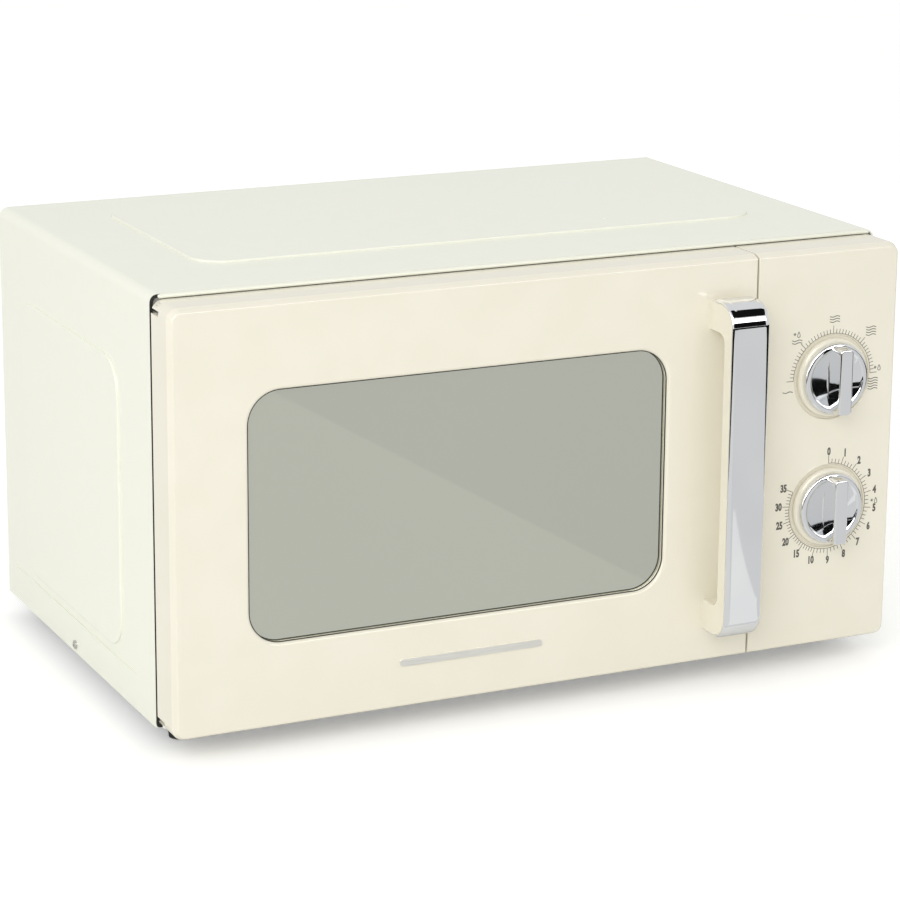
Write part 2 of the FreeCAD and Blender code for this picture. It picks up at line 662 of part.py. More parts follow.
def rear_panel():
    """The back plate, with the fan's intake, the steam outlet and the cord's hole."""
    panel = Piece("rear_panel")
    panel.pad("XZ", ("back_plate_front - rear_rim", "back_plate_rear"), frame_outline("0"))
    panel.pocket("XZ", ("back_plate_front - rear_rim", "back_plate_front"),
                 frame_outline("frame_sheet"))
    through = ("back_plate_front - 1", "back_plate_rear + 1")
    intake_x = "fan_x - fan_radius * 0.8"
    intake = panel.pocket("XZ", through,
                          rectangle((intake_x, f"{intake_x} + louvre_width"),
                                    ("fan_z - fan_radius * 0.6", "fan_z + fan_radius * 0.6")))
    panel.row(intake, "H", "fan_radius * 0.14", "louvre_count")
    outlet = panel.pocket("XZ", through,
                          rectangle(("outlet_x", "outlet_x + louvre_width"),
                                    ("outlet_z", "outlet_z + louvre_length")))
    panel.row(outlet, "H", "louvre_pitch", "louvre_count")
    panel.pocket("XZ", through, circle("gland_x", "gland_z", "gland_radius + fit / 2"))


def small_case_parts():
    """Feet, rear spacers, cord gland and the screws that hold the wrap."""
    side, front, back = ("half_width - foot_side", "case_front + foot_end",
                         "case_rear - foot_end")
    corners = [(f"-({side})", front), (side, front), (f"-({side})", back), (side, back)]
    sub_part("feet", *[rod("Z", ("0", "case_bottom"), corner, "foot_radius * 0.86",
                           "foot_radius") for corner in corners])
    sub_part("rear_spacers", *[
        joined(rod("Y", ("back_plate_rear", "half_depth"), (x, "spacer_z"), "spacer_radius"),
               rod("Y", ("back_plate_rear", "case_rear + spacer_reach / 4"), (x, "spacer_z"),
                   "spacer_radius * 1.3"))
        for x in ("-spacer_x", "spacer_x")])
    gland = Piece("cord_gland", at=("gland_x", "back_plate_rear", "gland_z"))
    inner = "-(frame_sheet + fit)"
    gland.turned("XY", "0", ("0", "0"), "V",
                 ("gland_bore", f"{inner} - gland_tail"),
                 ("gland_radius + 1.2", f"{inner} - gland_tail"),
                 ("gland_radius + 1.2", inner), ("gland_radius", inner), ("gland_radius", "0"),
                 ("gland_radius + 2.4", "0"), ("gland_radius + 1.4", "gland_flange"),
                 ("gland_bore", "gland_flange"))
    edge = "half_width - case_sheet"
    screws = [screw("X", f"{sense} * half_width", f"{sense} * ({edge} - frame_sheet * 3)",
                    ("side_screw_y", "side_screw_z"), -sense) for sense in (-1, 1)]
    inset = f"{edge} - rear_flange / 2"
    for x, z in ((f"-({inset})", "rear_screw_low"), (inset, "rear_screw_low"),
                 (f"-({inset})", "rear_screw_high"), (inset, "rear_screw_high")):
        screws.append(rod("Y", ("case_rear", "case_rear + screw_head_height"), (x, z),
                          "screw_head_radius", "screw_head_radius * 0.8"))
    sub_part("case_screws", *screws)


# ---------------------------------------------------------------- cavity and turntable

def oven_cavity():
    """The welded steel box that the food goes in."""
    cavity = Piece("oven_cavity")
    wall = "cavity_sheet"
    cavity.pad("XZ", ("plate_rear", f"cavity_back + {wall}"),
               rounded((f"cavity_left - {wall}", f"cavity_right + {wall}"),
                       (f"cavity_floor - {wall}", f"cavity_ceiling + {wall}"),
                       f"cavity_corner + {wall}"))
    cavity.pocket("XZ", ("plate_rear", "cavity_back"),
                  rounded(("cavity_left", "cavity_right"), ("cavity_floor", "cavity_ceiling"),
                          "cavity_corner"))
    cavity.pocket("XY", (f"cavity_floor - {wall} - 1", "cavity_floor + 1"),
                  circle("turn_x", "turn_y", "coupler_radius / 2 + joint_gap"))
    side = ("cavity_right - 1", f"cavity_right + {wall} + 1")
    cavity.pocket("YZ", side, rectangle(("port_y", "port_y + port_length"),
                                        ("port_z", "port_z + port_height")))
    lamp = cavity.pocket("YZ", side,
                         rectangle(("lamp_y - lamp_width / 2", "lamp_y - lamp_width / 2 + 2"),
                                   ("lamp_z - lamp_width / 2", "lamp_z + lamp_width / 2")))
    cavity.row(lamp, "H", "4", "lamp_slots")
    steam = cavity.pocket("XY", ("cavity_ceiling - 1", f"cavity_ceiling + {wall} + 1"),
                          rectangle(("outlet_x", "outlet_x + 2"),
                                    ("cavity_back - 2 * louvre_width - louvre_length",
                                     "cavity_back - 2 * louvre_width")))
    cavity.row(steam, "H", "4", "lamp_slots")


def turntable():
    """Motor, coupler, glass plate and the roller ring that carries the plate."""
    centre = ("turn_x", "turn_y")
    motor = joined(rod("Z", ("motor_top - motor_height", "motor_top - fit"), centre,
                       "motor_radius"),
                   block(("turn_x - motor_radius - 8", "turn_x + motor_radius + 8"),
                         ("turn_y - 6", "turn_y + 6"),
                         ("motor_top - frame_sheet", "motor_top")))
    hole = rod("Z", ("motor_top - motor_height / 2", "motor_top + 1"), centre,
               "drive_radius + running_gap")
    sub_part("turntable_motor", minus(motor, hole))

    coupler = Piece("turntable_coupler", at=(*centre, "0"))
    low = "cavity_floor + joint_gap"
    top = "plate_under - joint_gap"
    coupler.turned("XZ", "0", ("0", "0"), "V",
                   ("0", "motor_top - motor_height / 2 + joint_gap"),
                   ("drive_radius", "motor_top - motor_height / 2 + joint_gap"),
                   ("drive_radius", "motor_top + 0.5"),
                   ("coupler_radius / 2", "motor_top + 0.5"), ("coupler_radius / 2", low),
                   ("coupler_radius", low), ("coupler_radius", f"{top} - 4"),
                   ("coupler_radius - 5", f"{top} - 2"), ("coupler_radius - 5", top), ("0", top))
    for turn in range(3):
        angle = math.radians(90 + 120 * turn)
        x = f"{math.cos(angle):.6f} * (coupler_radius - 4)"
        y = f"{math.sin(angle):.6f} * (coupler_radius - 4)"
        coupler.pad("XY", (f"{top} - 5", top), circle(x, y, "3"))

    plate = Piece("glass_turntable", at=(*centre, "plate_under"))
    plate.turned("XZ", "0", ("0", "0"), "V",
                 ("0", "0"), ("plate_foot - 3", "0"), ("plate_foot - 3", "-plate_lug"),
                 ("plate_foot", "-plate_lug"), ("plate_foot", "0"),
                 ("plate_radius - 12", "0"), ("plate_radius", "plate_rim - 2"),
                 ("plate_radius", "plate_rim"), ("plate_radius - 2", "plate_rim"),
                 ("plate_radius - 15", "plate_thickness"), ("0", "plate_thickness"))
    plate.soften("0.9", lambda box: same(box.ZMin, box.ZMax) and (
        box.ZMax > size("plate_rim") - 0.01 or same(box.ZMax, size("plate_thickness"))))

    ring = Piece("roller_ring", at=(*centre, "wheel_z"))
    half = "ring_height / 2"
    ring.pad("XY", (f"-{half}", half), circle("0", "0", "ring_radius + ring_width / 2"),
             circle("0", "0", "ring_radius - ring_width / 2"))
    ring.pad("XY", (f"-{half}", half), circle("0", "0", "plate_foot + 4.5"),
             circle("0", "0", "coupler_radius + 1.4"))
    for turn in range(size_count("wheel_count")):
        spoke_and_axle(ring, turn * 360 / size("wheel_count") + 90)
    for turn in range(size_count("wheel_count")):
        roller_wheel(turn)


def size_count(name):
    """A whole number from the sheet."""
    return int(round(size(name)))


def spoke_and_axle(ring, degrees):
    """One spoke from the hub to the ring, and the snap-ended axle outside it."""
    c, s = math.cos(math.radians(degrees)), math.sin(math.radians(degrees))

    def at(radius, across):
        return (f"{c:.9f} * ({radius}) - {s:.9f} * ({across})",
                f"{s:.9f} * ({radius}) + {c:.9f} * ({across})")

    def bar(start, end, half_width, half_height):
        ring.pad("XY", (f"-({half_height})", half_height), polygon(
            at(start, f"-({half_width})"), at(end, f"-({half_width})"),
            at(end, half_width), at(start, half_width)))

    bar("plate_foot + 3", "ring_radius", "ring_width / 2", "ring_height / 2")
    outer = "ring_radius + ring_width / 2"
    wheel_end = f"{outer} + 2 * joint_gap + wheel_width"
    bar(f"{outer} - 0.5", f"{wheel_end} + 0.2", "axle_radius * 0.7", "axle_radius * 0.7")
    bar(wheel_end, f"{wheel_end} + 1.6", "axle_radius * 1.2", "axle_radius * 1.2")


def roller_wheel(turn):
    """A small wheel on its axle, its own axis along a radius of the turntable."""
    degrees = turn * 360 / size("wheel_count") + 90
    wheel = Piece(f"roller_wheel_{turn + 1}")
    c, s = math.cos(math.radians(degrees)), math.sin(math.radians(degrees))
    wheel.body.setExpression("Placement.Base.x", bound(f"turn_x + {c:.9f} * wheel_r"))
    wheel.body.setExpression("Placement.Base.y", bound(f"turn_y + {s:.9f} * wheel_r"))
    wheel.body.setExpression("Placement.Base.z", bound("wheel_z"))
    half = "wheel_width / 2"
    wheel.turned("XY", "0", ("0", "0"), "H",
                 (f"-{half}", "axle_radius + running_gap"), (f"-{half}", "wheel_radius - 0.6"),
                 (f"0.6 - {half}", "wheel_radius"), (f"{half} - 0.6", "wheel_radius"),
                 (half, "wheel_radius - 0.6"), (half, "axle_radius + running_gap"))
    base = wheel.body.Placement.Base
    wheel.body.Placement = FreeCAD.Placement(base, FreeCAD.Rotation(Vector(0, 0, 1), degrees))
    doc.recompute()


# ---------------------------------------------------------------- door

def door_shell():
    """The moulded front of the door, hollow behind."""
    shell = Piece("door_shell")
    shell.pad("XZ", ("bezel_front", "bezel_rear"),
              rectangle(("door_left", "door_right"), ("bezel_bottom", "bezel_top")))
    bezel_edges(shell, "door_left", "door_right")
    wall = "skirt_wall"
    shell.pocket("XZ", ("shell_inside", "bezel_rear"),
                 rounded((f"door_left + {wall}", f"door_right - {wall}"),
                         (f"bezel_bottom + {wall}", f"bezel_top - {wall}"), "skirt_wall"))
    shell.pocket("XZ", ("bezel_front", "shell_inside"),
                 rounded(("window_x0", "window_x1"), ("window_z0", "window_z1"),
                         "window_corner"))
    front = size("bezel_front")
    x0, x1 = size("window_x0") - 0.1, size("window_x1") + 0.1
    z0, z1 = size("window_z0") - 0.1, size("window_z1") + 0.1
    shell.soften("window_lip", lambda box: (
        flat(box, y=front) and box.XMin > x0 and box.XMax < x1
        and box.ZMin > z0 and box.ZMax < z1))
    posts = [circle(x, z, "boss_radius") for x, z in door_screw_places()]
    shell.pad("XZ", ("shell_inside - 1", "choke_front"), *posts)
    shell.pocket("XZ", ("shell_inside - 0.5", "choke_front"),
                 *[circle(x, z, "screw_radius + running_gap") for x, z in door_screw_places()])
    shell.pocket("XZ", ("bezel_front - 1", "shell_inside + 1"),
                 *[circle("handle_x", z, "screw_radius + fit") for z in handle_screw_levels()])
    (low, _), (_, high) = hinge_levels()
    bearing = "pin_hole + skirt_wall - fit"
    for span, hole in (
            ((f"bezel_bottom + {wall} - 0.5", f"{low} - joint_gap"),
             ("pin_low_end - joint_gap", f"{low} - joint_gap")),
            ((f"{high} + joint_gap", f"bezel_top - {wall} + 0.5"),
             (f"{high} + joint_gap", "pin_high_end + joint_gap"))):
        shell.pad("XY", span, circle("pin_x + 0.3", "pin_y", bearing))
        shell.pocket("XY", hole, circle("pin_x", "pin_y", "pin_hole"))
    for low, high in hinge_levels():
        shell.pocket("YZ", ("door_left - 1", f"door_left + {wall} + 1.5"),
                     rectangle(("pin_y - pin_radius - hinge_swing", "bezel_rear + 1"),
                               (f"{low} - joint_gap", f"{high} + joint_gap")))
    guides = [rectangle(("latch_x0 - latch_rib - joint_gap", "latch_x0 - joint_gap"), span)
              for span in latch_guides()]
    shell.pad("XZ", ("shell_inside - 1", "latch_front + latch_bar_depth / 2"), *guides)
    anchor = "latch_x - latch_width / 2 - 1"
    shell.pad("XZ", ("shell_inside - 1", "latch_front + 2"),
              rectangle((anchor, "latch_x1 + 1"), ("spring_top + 0.5", "spring_top + 3.5")))


def latch_guides():
    """The levels of the ribs that guide the latch bar."""
    return [(f"{hook} + {offset}", f"{hook} + {offset} + 8")
            for hook in ("upper_hook", "lower_hook") for offset in (-14, 16)]


def bezel_edges(shell, outer, inner):
    """Round a front moulding: its two outer corners, then the sloped band round its face."""
    side, seam = size(outer), size(inner)
    front = size("bezel_front")
    shell.soften("bezel_corner", lambda box: runs(box, "y") and same(box.XMin, side))
    band = shell.soften("edge_slope", lambda box: flat(box, y=front) and not flat(box, x=seam),
                        kind="Chamfer")
    band.ChamferType = "Two distances"
    band.setExpression("Size2", bound("edge_band"))
    doc.recompute()
    behind = size("bezel_front + edge_band")
    if not any(flat(edge.BoundBox, y=behind) for edge in band.Shape.Edges):
        band.FlipDirection = True
        doc.recompute()
    shell.soften("edge_round", lambda box: (
        (flat(box, y=front) or flat(box, y=behind)) and not flat(box, x=seam)))
    shell.soften("seam_round", lambda box: flat(box, y=front, x=seam))


def door_screw_places():
    """Where the choke frame is screwed to the shell, in the middle of each side."""
    middle_x, middle_z = "(choke_x0 + choke_x1) / 2", "(choke_z0 + choke_z1) / 2"
    return [("(choke_x0 + lip_x0) / 2", middle_z), ("(choke_x1 + lip_x1) / 2", middle_z),
            (middle_x, "(choke_z0 + lip_z0) / 2"), (middle_x, "(choke_z1 + lip_z1) / 2")]


def handle_screw_levels():
    """The middle of each handle post."""
    return ["handle_z0 + handle_post / 2 + 1", "handle_z1 - handle_post / 2 - 1"]


def door_inside():
    """Glass, perforated screen, choke frame, its cover and the inner film."""
    over = "glass_overlap"
    glass = Piece("door_window")
    glass.pad("XZ", ("glass_front", "glass_front + glass_thickness"),
              rounded((f"window_x0 - {over}", f"window_x1 + {over}"),
                      (f"window_z0 - {over}", f"window_z1 + {over}"), "window_corner / 2"))

    choke = Piece("choke_frame")
    metal = "choke_sheet"
    outline = rounded(("choke_x0", "choke_x1"), ("choke_z0", "choke_z1"), "choke_corner")
    choke.pad("XZ", ("choke_front", "choke_rear"), outline)
    choke.pocket("XZ", (f"choke_front + {metal}", "choke_rear"),
                 rounded((f"choke_x0 + {metal}", f"choke_x1 - {metal}"),
                         (f"choke_z0 + {metal}", f"choke_z1 - {metal}"),
                         f"choke_corner - {metal}"),
                 rounded((f"lip_x0 - {metal}", f"lip_x1 + {metal}"),
                         (f"lip_z0 - {metal}", f"lip_z1 + {metal}"), "cavity_corner"))
    choke.pocket("XZ", (f"choke_front + {metal}", "choke_rear"),
                 rounded(("lip_x0", "lip_x1"), ("lip_z0", "lip_z1"),
                         f"cavity_corner - {metal}"))
    choke.pocket("XZ", ("choke_front", f"choke_front + {metal}"),
                 rounded((f"window_x0 - {over} / 2", f"window_x1 + {over} / 2"),
                         (f"window_z0 - {over} / 2", f"window_z1 + {over} / 2"),
                         "window_corner / 2"))
    choke.pocket("XZ", ("choke_front", f"choke_front + {metal}"),
                 *[circle(x, z, "screw_radius + fit") for x, z in door_screw_places()])

    screen = Piece("window_screen")
    screen.pad("XZ", (f"choke_front + {metal} + fit / 2",
                      f"choke_front + {metal} + fit / 2 + screen_thickness"),
               rounded((f"window_x0 - {over}", f"window_x1 + {over}"),
                       (f"window_z0 - {over}", f"window_z1 + {over}"), "window_corner / 2"))

    cover = Piece("choke_cover")
    rear = "choke_rear + fit / 2"
    cover.pad("XZ", (rear, f"{rear} + choke_cover_thickness"), outline)
    cover.pocket("XZ", (rear, f"{rear} + choke_cover_thickness"),
                 rounded(("cavity_left", "cavity_right"), ("cavity_floor", "cavity_ceiling"),
                         "cavity_corner"))
    cover.soften("choke_cover_thickness / 3", lambda box: flat(
        box, y=size(f"{rear} + choke_cover_thickness")))

    film = Piece("inner_film")
    film.pad("XZ", ("choke_rear - film_thickness", "choke_rear"),
             rounded(("lip_x0 + fit", "lip_x1 - fit"), ("lip_z0 + fit", "lip_z1 - fit"),
                     f"cavity_corner - {metal}"))

    head = f"choke_front + {metal}"
    screws = [screw("Y", head, "shell_inside", place, -1) for place in door_screw_places()]
    screws += [screw("Y", "shell_inside", "bezel_front - handle_reach / 2 + 1",
                     ("handle_x", level), -1) for level in handle_screw_levels()]
    sub_part("door_screws", *screws)


def door_handle():
    """The moulded grip, the bright strip over it, and the blank badge on the door."""
    x = ("handle_x0", "handle_x1")
    grip = Piece("handle_body")
    z = ("handle_z0 + trim_thickness", "handle_z1 - trim_thickness")
    grip.pad("YZ", (f"{x[0]} + trim_overhang", f"{x[1]} - trim_overhang"),
             rectangle(("trim_inside + fit / 2", "bezel_front"), z))
    front = size("trim_inside + fit / 2")
    grip.soften("handle_corner - trim_thickness",
                lambda box: runs(box, "x") and same(box.YMin, front))
    gap = ("handle_z0 + handle_post", "handle_z1 - handle_post")
    grip.pocket("YZ", (f"{x[0]} - 1", f"{x[1]} + 1"),
                rectangle(("grip_back", "bezel_front + 1"), gap))
    back, ends = size("grip_back"), (size(gap[0]), size(gap[1]))
    grip.soften("grip_corner", lambda box: (
        runs(box, "x") and same(box.YMin, back) and any(same(box.ZMin, end) for end in ends)))
    grip.soften("seam_round * 2", lambda box: (
        box.YMax < back + 0.1 and box.YMin > front + 1 and flat_side(box)))
    grip.pocket("XZ", ("bezel_front - handle_reach / 2", "bezel_front"),
                *[circle("handle_x", level, "screw_radius + running_gap")
                  for level in handle_screw_levels()])

    trim = Piece("handle_trim")
    trim.pad("YZ", x, rectangle(("handle_front", "bezel_front - trim_start"),
                                ("handle_z0", "handle_z1")))
    outside = size("handle_front")
    trim.soften("handle_corner", lambda box: runs(box, "x") and same(box.YMin, outside))
    inside = ("handle_z0 + trim_thickness - fit / 2", "handle_z1 - trim_thickness + fit / 2")
    trim.pocket("YZ", x, rounded(("trim_inside", "bezel_front + handle_corner * 2"), inside,
                                 "handle_corner - trim_thickness"))
    low = size("handle_x0"), size("handle_x1")
    trim.soften("trim_edge", lambda box: (
        any(flat(box, x=side) for side in low) and on_outside(box)))

    badge = Piece("badge_strip")
    centre, level = "door_left + badge_x", "case_bottom + badge_level"
    badge.pad("XZ", ("bezel_front - badge_thickness", "bezel_front"),
              rounded((f"{centre} - badge_length / 2", f"{centre} + badge_length / 2"),
                      (f"{level} - badge_height / 2", f"{level} + badge_height / 2"),
                      "badge_height / 2 - 0.05"))


def flat_side(box):
    """Whether an edge lies in one of the grip's two side faces and is long."""
    sides = (size("handle_x0 + trim_overhang"), size("handle_x1 - trim_overhang"))
    return any(flat(box, x=side) for side in sides) and box.ZLength > size("handle_width")


def on_outside(box):
    """Whether an edge belongs to the outer outline of the bright strip."""
    front, low, high = size("handle_front"), size("handle_z0"), size("handle_z1")
    return same(box.YMin, front) or same(box.ZMin, low) or same(box.ZMax, high)


def door_latch():
    """The sliding bar with its two hooks, and the spring that pulls it down."""
    latch = Piece("latch_hooks")
    front, back = "latch_front", "latch_front + latch_bar_depth"
    latch.pad("YZ", ("latch_x0", "latch_x1"),
              rectangle((front, back), ("lower_hook - 6", "upper_hook + hook_height + 6")))
    for hook in ("lower_hook", "upper_hook"):
        nose = "hook_nose"
        latch.pad("YZ", ("latch_x0", "latch_x1"), polygon(
            (f"{back} - 1", hook), (f"hook_tip - 2 * {nose}", hook),
            (f"hook_tip - 2 * {nose}", f"{hook} - {nose}"),
            (f"hook_tip - {nose}", f"{hook} - {nose}"), ("hook_tip", hook),
            ("hook_tip", f"{hook} + hook_height - {nose}"),
            (f"hook_tip - {nose}", f"{hook} + hook_height"),
            (f"{back} - 1", f"{hook} + hook_height")))
    spring = doc.addObject("Part::Helix", "spring_line")
    spring.setExpression("Pitch", bound("spring_pitch"))
    spring.setExpression("Height", bound("spring_top - spring_foot - spring_wire * 2"))
    spring.setExpression("Radius", bound("spring_radius"))
    seat(spring, "latch_x", "latch_front + latch_bar_depth / 2", "spring_foot + spring_wire")
    wire = doc.addObject("Part::Circle", "spring_section")
    wire.setExpression("Radius", bound("spring_wire / 2"))
    wire.Placement = FreeCAD.Placement(Vector(), FreeCAD.Rotation(Vector(1, 0, 0), 90))
    seat(wire, "latch_x + spring_radius", "latch_front + latch_bar_depth / 2",
         "spring_foot + spring_wire")
    coil = doc.addObject("Part::Sweep", "latch_spring")
    coil.Sections = [wire]
    coil.Spine = (spring, [])
    coil.Solid = True
    coil.Frenet = True
    sub_part("latch_spring", coil)


# ---------------------------------------------------------------- control panel and knobs

def control_panel():
    """The moulded panel beside the door, with a round recess for each knob."""
    panel = Piece("control_panel")
    panel.pad("XZ", ("bezel_front", "bezel_rear"),
              rectangle(("panel_left", "half_width"), ("bezel_bottom", "bezel_top")))
    bezel_edges(panel, "half_width", "panel_left")
    wall = "skirt_wall"
    panel.pocket("XZ", ("shell_inside", "bezel_rear"),
                 rounded((f"panel_left + {wall}", f"half_width - {wall}"),
                         (f"bezel_bottom + {wall}", f"bezel_top - {wall}"), "skirt_wall"))
    levels = ("power_z", "timer_z")
    panel.pocket("XZ", ("bezel_front", "recess_floor"),
                 *[circle("knob_centre", level, "recess_radius") for level in levels])
    panel.pocket("XZ", ("recess_floor", "shell_inside"),
                 *[circle("knob_centre", level, "shaft_radius * 2") for level in levels])
    front, side = size("bezel_front"), size("knob_centre - recess_radius")
    other = size("knob_centre + recess_radius")
    panel.soften("recess_depth * 0.8", lambda box: (
        flat(box, y=front) and box.XMin > side - 0.1 and box.XMax < other + 0.1
        and box.ZLength > 10))
    for x in ("panel_left + panel_post", "half_width - panel_post"):
        for z in ("bezel_bottom + panel_post", "bezel_top - panel_post"):
            panel.pad("XZ", ("shell_inside - 1", "plate_front"), circle(x, z, "boss_radius"))


def knob(name, level):
    """A knob: moulded skirt, bright dished cap with a grip bar, and its shaft."""
    skirt = Piece(f"{name}_knob_skirt", at=("knob_centre", "recess_floor", level))
    low, high = "-(recess_depth + skirt_rise)", "-joint_gap"
    skirt.turned("XY", "0", ("0", "0"), "V",
                 ("shaft_radius + fit", high), ("skirt_radius - 1", high),
                 ("skirt_radius", f"{high} - 1"), ("skirt_radius", f"{low} + 1.4"),
                 ("skirt_radius - 0.4", f"{low} + 0.5"), ("skirt_radius - 1.2", low),
                 ("shaft_radius + fit", low))
    cap = Piece(f"{name}_knob_cap", at=("knob_centre", "recess_floor", level))
    rim = f"{low} - cap_rise"
    dish = f"{rim} + dish_depth"
    cap.turned("XY", "0", ("0", "0"), "V",
               ("0", f"{low} - fit / 2"), ("cap_radius - 0.4", f"{low} - fit / 2"),
               ("cap_radius", f"{low} - 0.6"), ("cap_radius", f"{rim} + 1.2"),
               ("cap_radius - 0.35", f"{rim} + 0.35"), ("cap_radius - 1.2", rim),
               ("dish_radius + 1", f"{rim} + 0.2"), ("dish_radius", f"{rim} + 0.9"),
               ("dish_radius - 2", f"{dish} - 0.5"), ("dish_radius - 5", dish), ("0", dish))
    face = "-(recess_depth + bar_reach)"
    cap.pad("XZ", (face, f"{dish} + 0.1"), rounded(
        ("-bar_width / 2", "bar_width / 2"), ("-bar_length / 2", "bar_length / 2"),
        "bar_width / 4"))
    top = size(face)
    cap.soften("bar_width * 0.16", lambda box: flat(box, y=top))
    cap.pocket("XZ", (f"{face} + front_wall", f"{low} - fit / 2"),
               circle("0", "0", "shaft_radius + fit"))
    sub_part(f"{name}_shaft", rod("Y", (f"recess_floor + {face} + front_wall + fit", "shaft_end"),
                                  ("knob_centre", level), "shaft_radius"))


def dials():
    """The switch unit behind the panel, with a bell, and the two knobs that turn it."""
    half = "timer_width / 2"
    x = (f"knob_centre - {half}", f"knob_centre + {half}")
    z = ("timer_z - timer_margin", "power_z + timer_margin")
    body = joined(
        block(x, ("timer_front", "timer_rear"), z),
        block(("panel_left + 2", "inner_half - frame_sheet - fit"),
              ("plate_rear + fit / 2", "timer_front + 0.5"),
              ("frame_bottom + panel_hole_ends + 10", "frame_top - panel_hole_ends - 10")),
        *[rod("Y", ("timer_front - bushing_length", "timer_front + 1"), ("knob_centre", level),
              "bushing_radius") for level in ("power_z", "timer_z")],
        rod("Y", ("timer_rear - 1", "timer_rear + 4"), ("knob_centre", "timer_z"), "3"))
    bores = [rod("Y", ("timer_front - bushing_length - 1", "shaft_end + 1"),
                 ("knob_centre", level), "shaft_radius + running_gap")
             for level in ("power_z", "timer_z")]
    sub_part("timer_unit", minus(body, *bores))
    bell = Piece("timer_bell", at=("knob_centre", "timer_rear + 4 + fit / 2", "timer_z"))
    bell.turned("XY", "0", ("0", "0"), "V",
                ("0", "bell_depth"), ("bell_radius * 0.6", "bell_depth"),
                ("bell_radius * 0.9", "bell_depth * 0.6"), ("bell_radius", "0"),
                ("bell_radius - 1.2", "0"), ("bell_radius * 0.9 - 1.2", "bell_depth * 0.6 - 1"),
                ("bell_radius * 0.6 - 1", "bell_depth - 1.2"), ("5", "bell_depth - 1.2"),
                ("5", "0"), ("0", "0"))
    knob("power", "power_z")
    knob("timer", "timer_z")


# ---------------------------------------------------------------- component bay

def latch_board():
    """The plastic board behind the frame that takes the hooks, and its three switches."""
    x1 = "latch_x + switch_length / 2 - 4"
    x0 = f"{x1} - switch_length"
    z = ("lower_hook - 14", "upper_hook + hook_height + 14")
    front = "plate_rear + fit / 2"
    board = block((x0, x1), (front, "board_rear"), z)
    slots = [block(("latch_x0 - latch_slack", "latch_x1 + latch_slack"),
                   (f"{front} - 1", "board_rear + 1"),
                   (f"{hook} - hook_nose - latch_slack",
                    f"{hook} + hook_height + latch_travel + latch_slack"))
             for hook in ("lower_hook", "upper_hook")]
    sub_part("latch_board", minus(board, *slots))
    bodies, plungers = [], []
    for low in switch_levels():
        high = f"{low} + switch_thickness"
        middle = f"{low} + switch_thickness / 2"
        rear = "board_rear + fit"
        body = block((x0, x1), (rear, f"{rear} + switch_depth"), (low, high))
        bore = rod("Y", (f"{rear} - 1", f"{rear} + switch_depth / 2"), ("latch_x", middle),
                   "plunger_radius + running_gap")
        bodies.append(minus(body, bore))
        plungers.append(rod("Y", ("hook_tip + joint_gap", f"{rear} + switch_depth / 2 - 0.5"),
                            ("latch_x", middle), "plunger_radius"))
    sub_part("interlock_switches", *bodies)
    sub_part("switch_plungers", *plungers)


def switch_levels():
    """The underside of each switch: one at the upper hook, two at the lower."""
    return ["upper_hook + 1", "lower_hook - 1.5", "lower_hook - 1.5 + switch_thickness + fit"]


def microwave_source():
    """Waveguide, mica cover, magnetron with its fins, antenna and filter box."""
    guide = Piece("waveguide")
    y = ("waveguide_front", "waveguide_front + waveguide_length")
    z = ("guide_z0", "guide_z1")
    skin = "frame_sheet"
    guide.pad("YZ", ("bay_left", "guide_right"), rectangle(y, z))
    guide.pocket("YZ", ("bay_left", f"guide_right - {skin}"),
                 rectangle((f"{y[0]} + {skin}", f"{y[1]} - {skin}"),
                           (f"{z[0]} + {skin}", f"{z[1]} - {skin}")))
    guide.pocket("YZ", (f"guide_right - {skin} - 1", "guide_right + 1"),
                 circle("tube_y", "tube_z", "antenna_radius + 1"))
    cover = Piece("waveguide_cover")
    cover.pad("YZ", ("cavity_right - film_thickness - fit / 2", "cavity_right - fit / 2"),
              rounded(("port_y - 6", "port_y + port_length + 6"),
                      ("port_z - 6", "port_z + port_height + 6"), "4"))

    body_y = ("tube_y - magnetron_depth / 2", "tube_y + magnetron_depth / 2")
    body_z = ("tube_z - magnetron_height / 2", "tube_z + magnetron_height / 2")
    right = "tube_left + magnetron_width"
    yoke = Piece("magnetron_yoke")
    yoke.pad("XZ", body_y, rectangle(("tube_left", right), body_z))
    yoke.pocket("XZ", body_y, rectangle(
        (f"tube_left + {skin} * 2", f"{right} - {skin} * 2"),
        (f"{body_z[0]} + {skin} * 2", f"{body_z[1]} - {skin} * 2")))
    yoke.pocket("YZ", ("tube_left - 1", f"{right} + 1"),
                circle("tube_y", "tube_z", "antenna_radius + 1"))
    inside = (f"tube_left + {skin} * 2 + fit", f"{right} - {skin} * 2 - fit")
    pitch = f"(({inside[1]}) - ({inside[0]})) / (fin_count + 1)"
    fins = [block((f"{inside[0]} + {pitch} * {number} - fin_sheet / 2",
                   f"{inside[0]} + {pitch} * {number} + fin_sheet / 2"),
                  (f"{body_y[0]} + 6", f"{body_y[1]} - 6"),
                  (f"{body_z[0]} + {skin} * 2 + fit", f"{body_z[1]} - {skin} * 2 - fit"))
            for number in range(1, size_count("fin_count") + 1)]
    core = rod("X", inside, ("tube_y", "tube_z"), "antenna_radius * 2")
    sub_part("magnetron_core", joined(core, *fins))
    dome = rod("X", ("guide_right - antenna_reach", f"{inside[0]} - fit / 2"),
               ("tube_y", "tube_z"), "antenna_radius")
    sub_part("magnetron_antenna", dome)
    sub_part("magnetron_filter_box", block(
        (f"{right} + fit", f"{right} + fit + filter_width"),
        ("tube_y - magnetron_depth / 4", "tube_y + magnetron_depth / 4"),
        (f"{body_z[0]} + 6", f"{body_z[1]} - 6")))


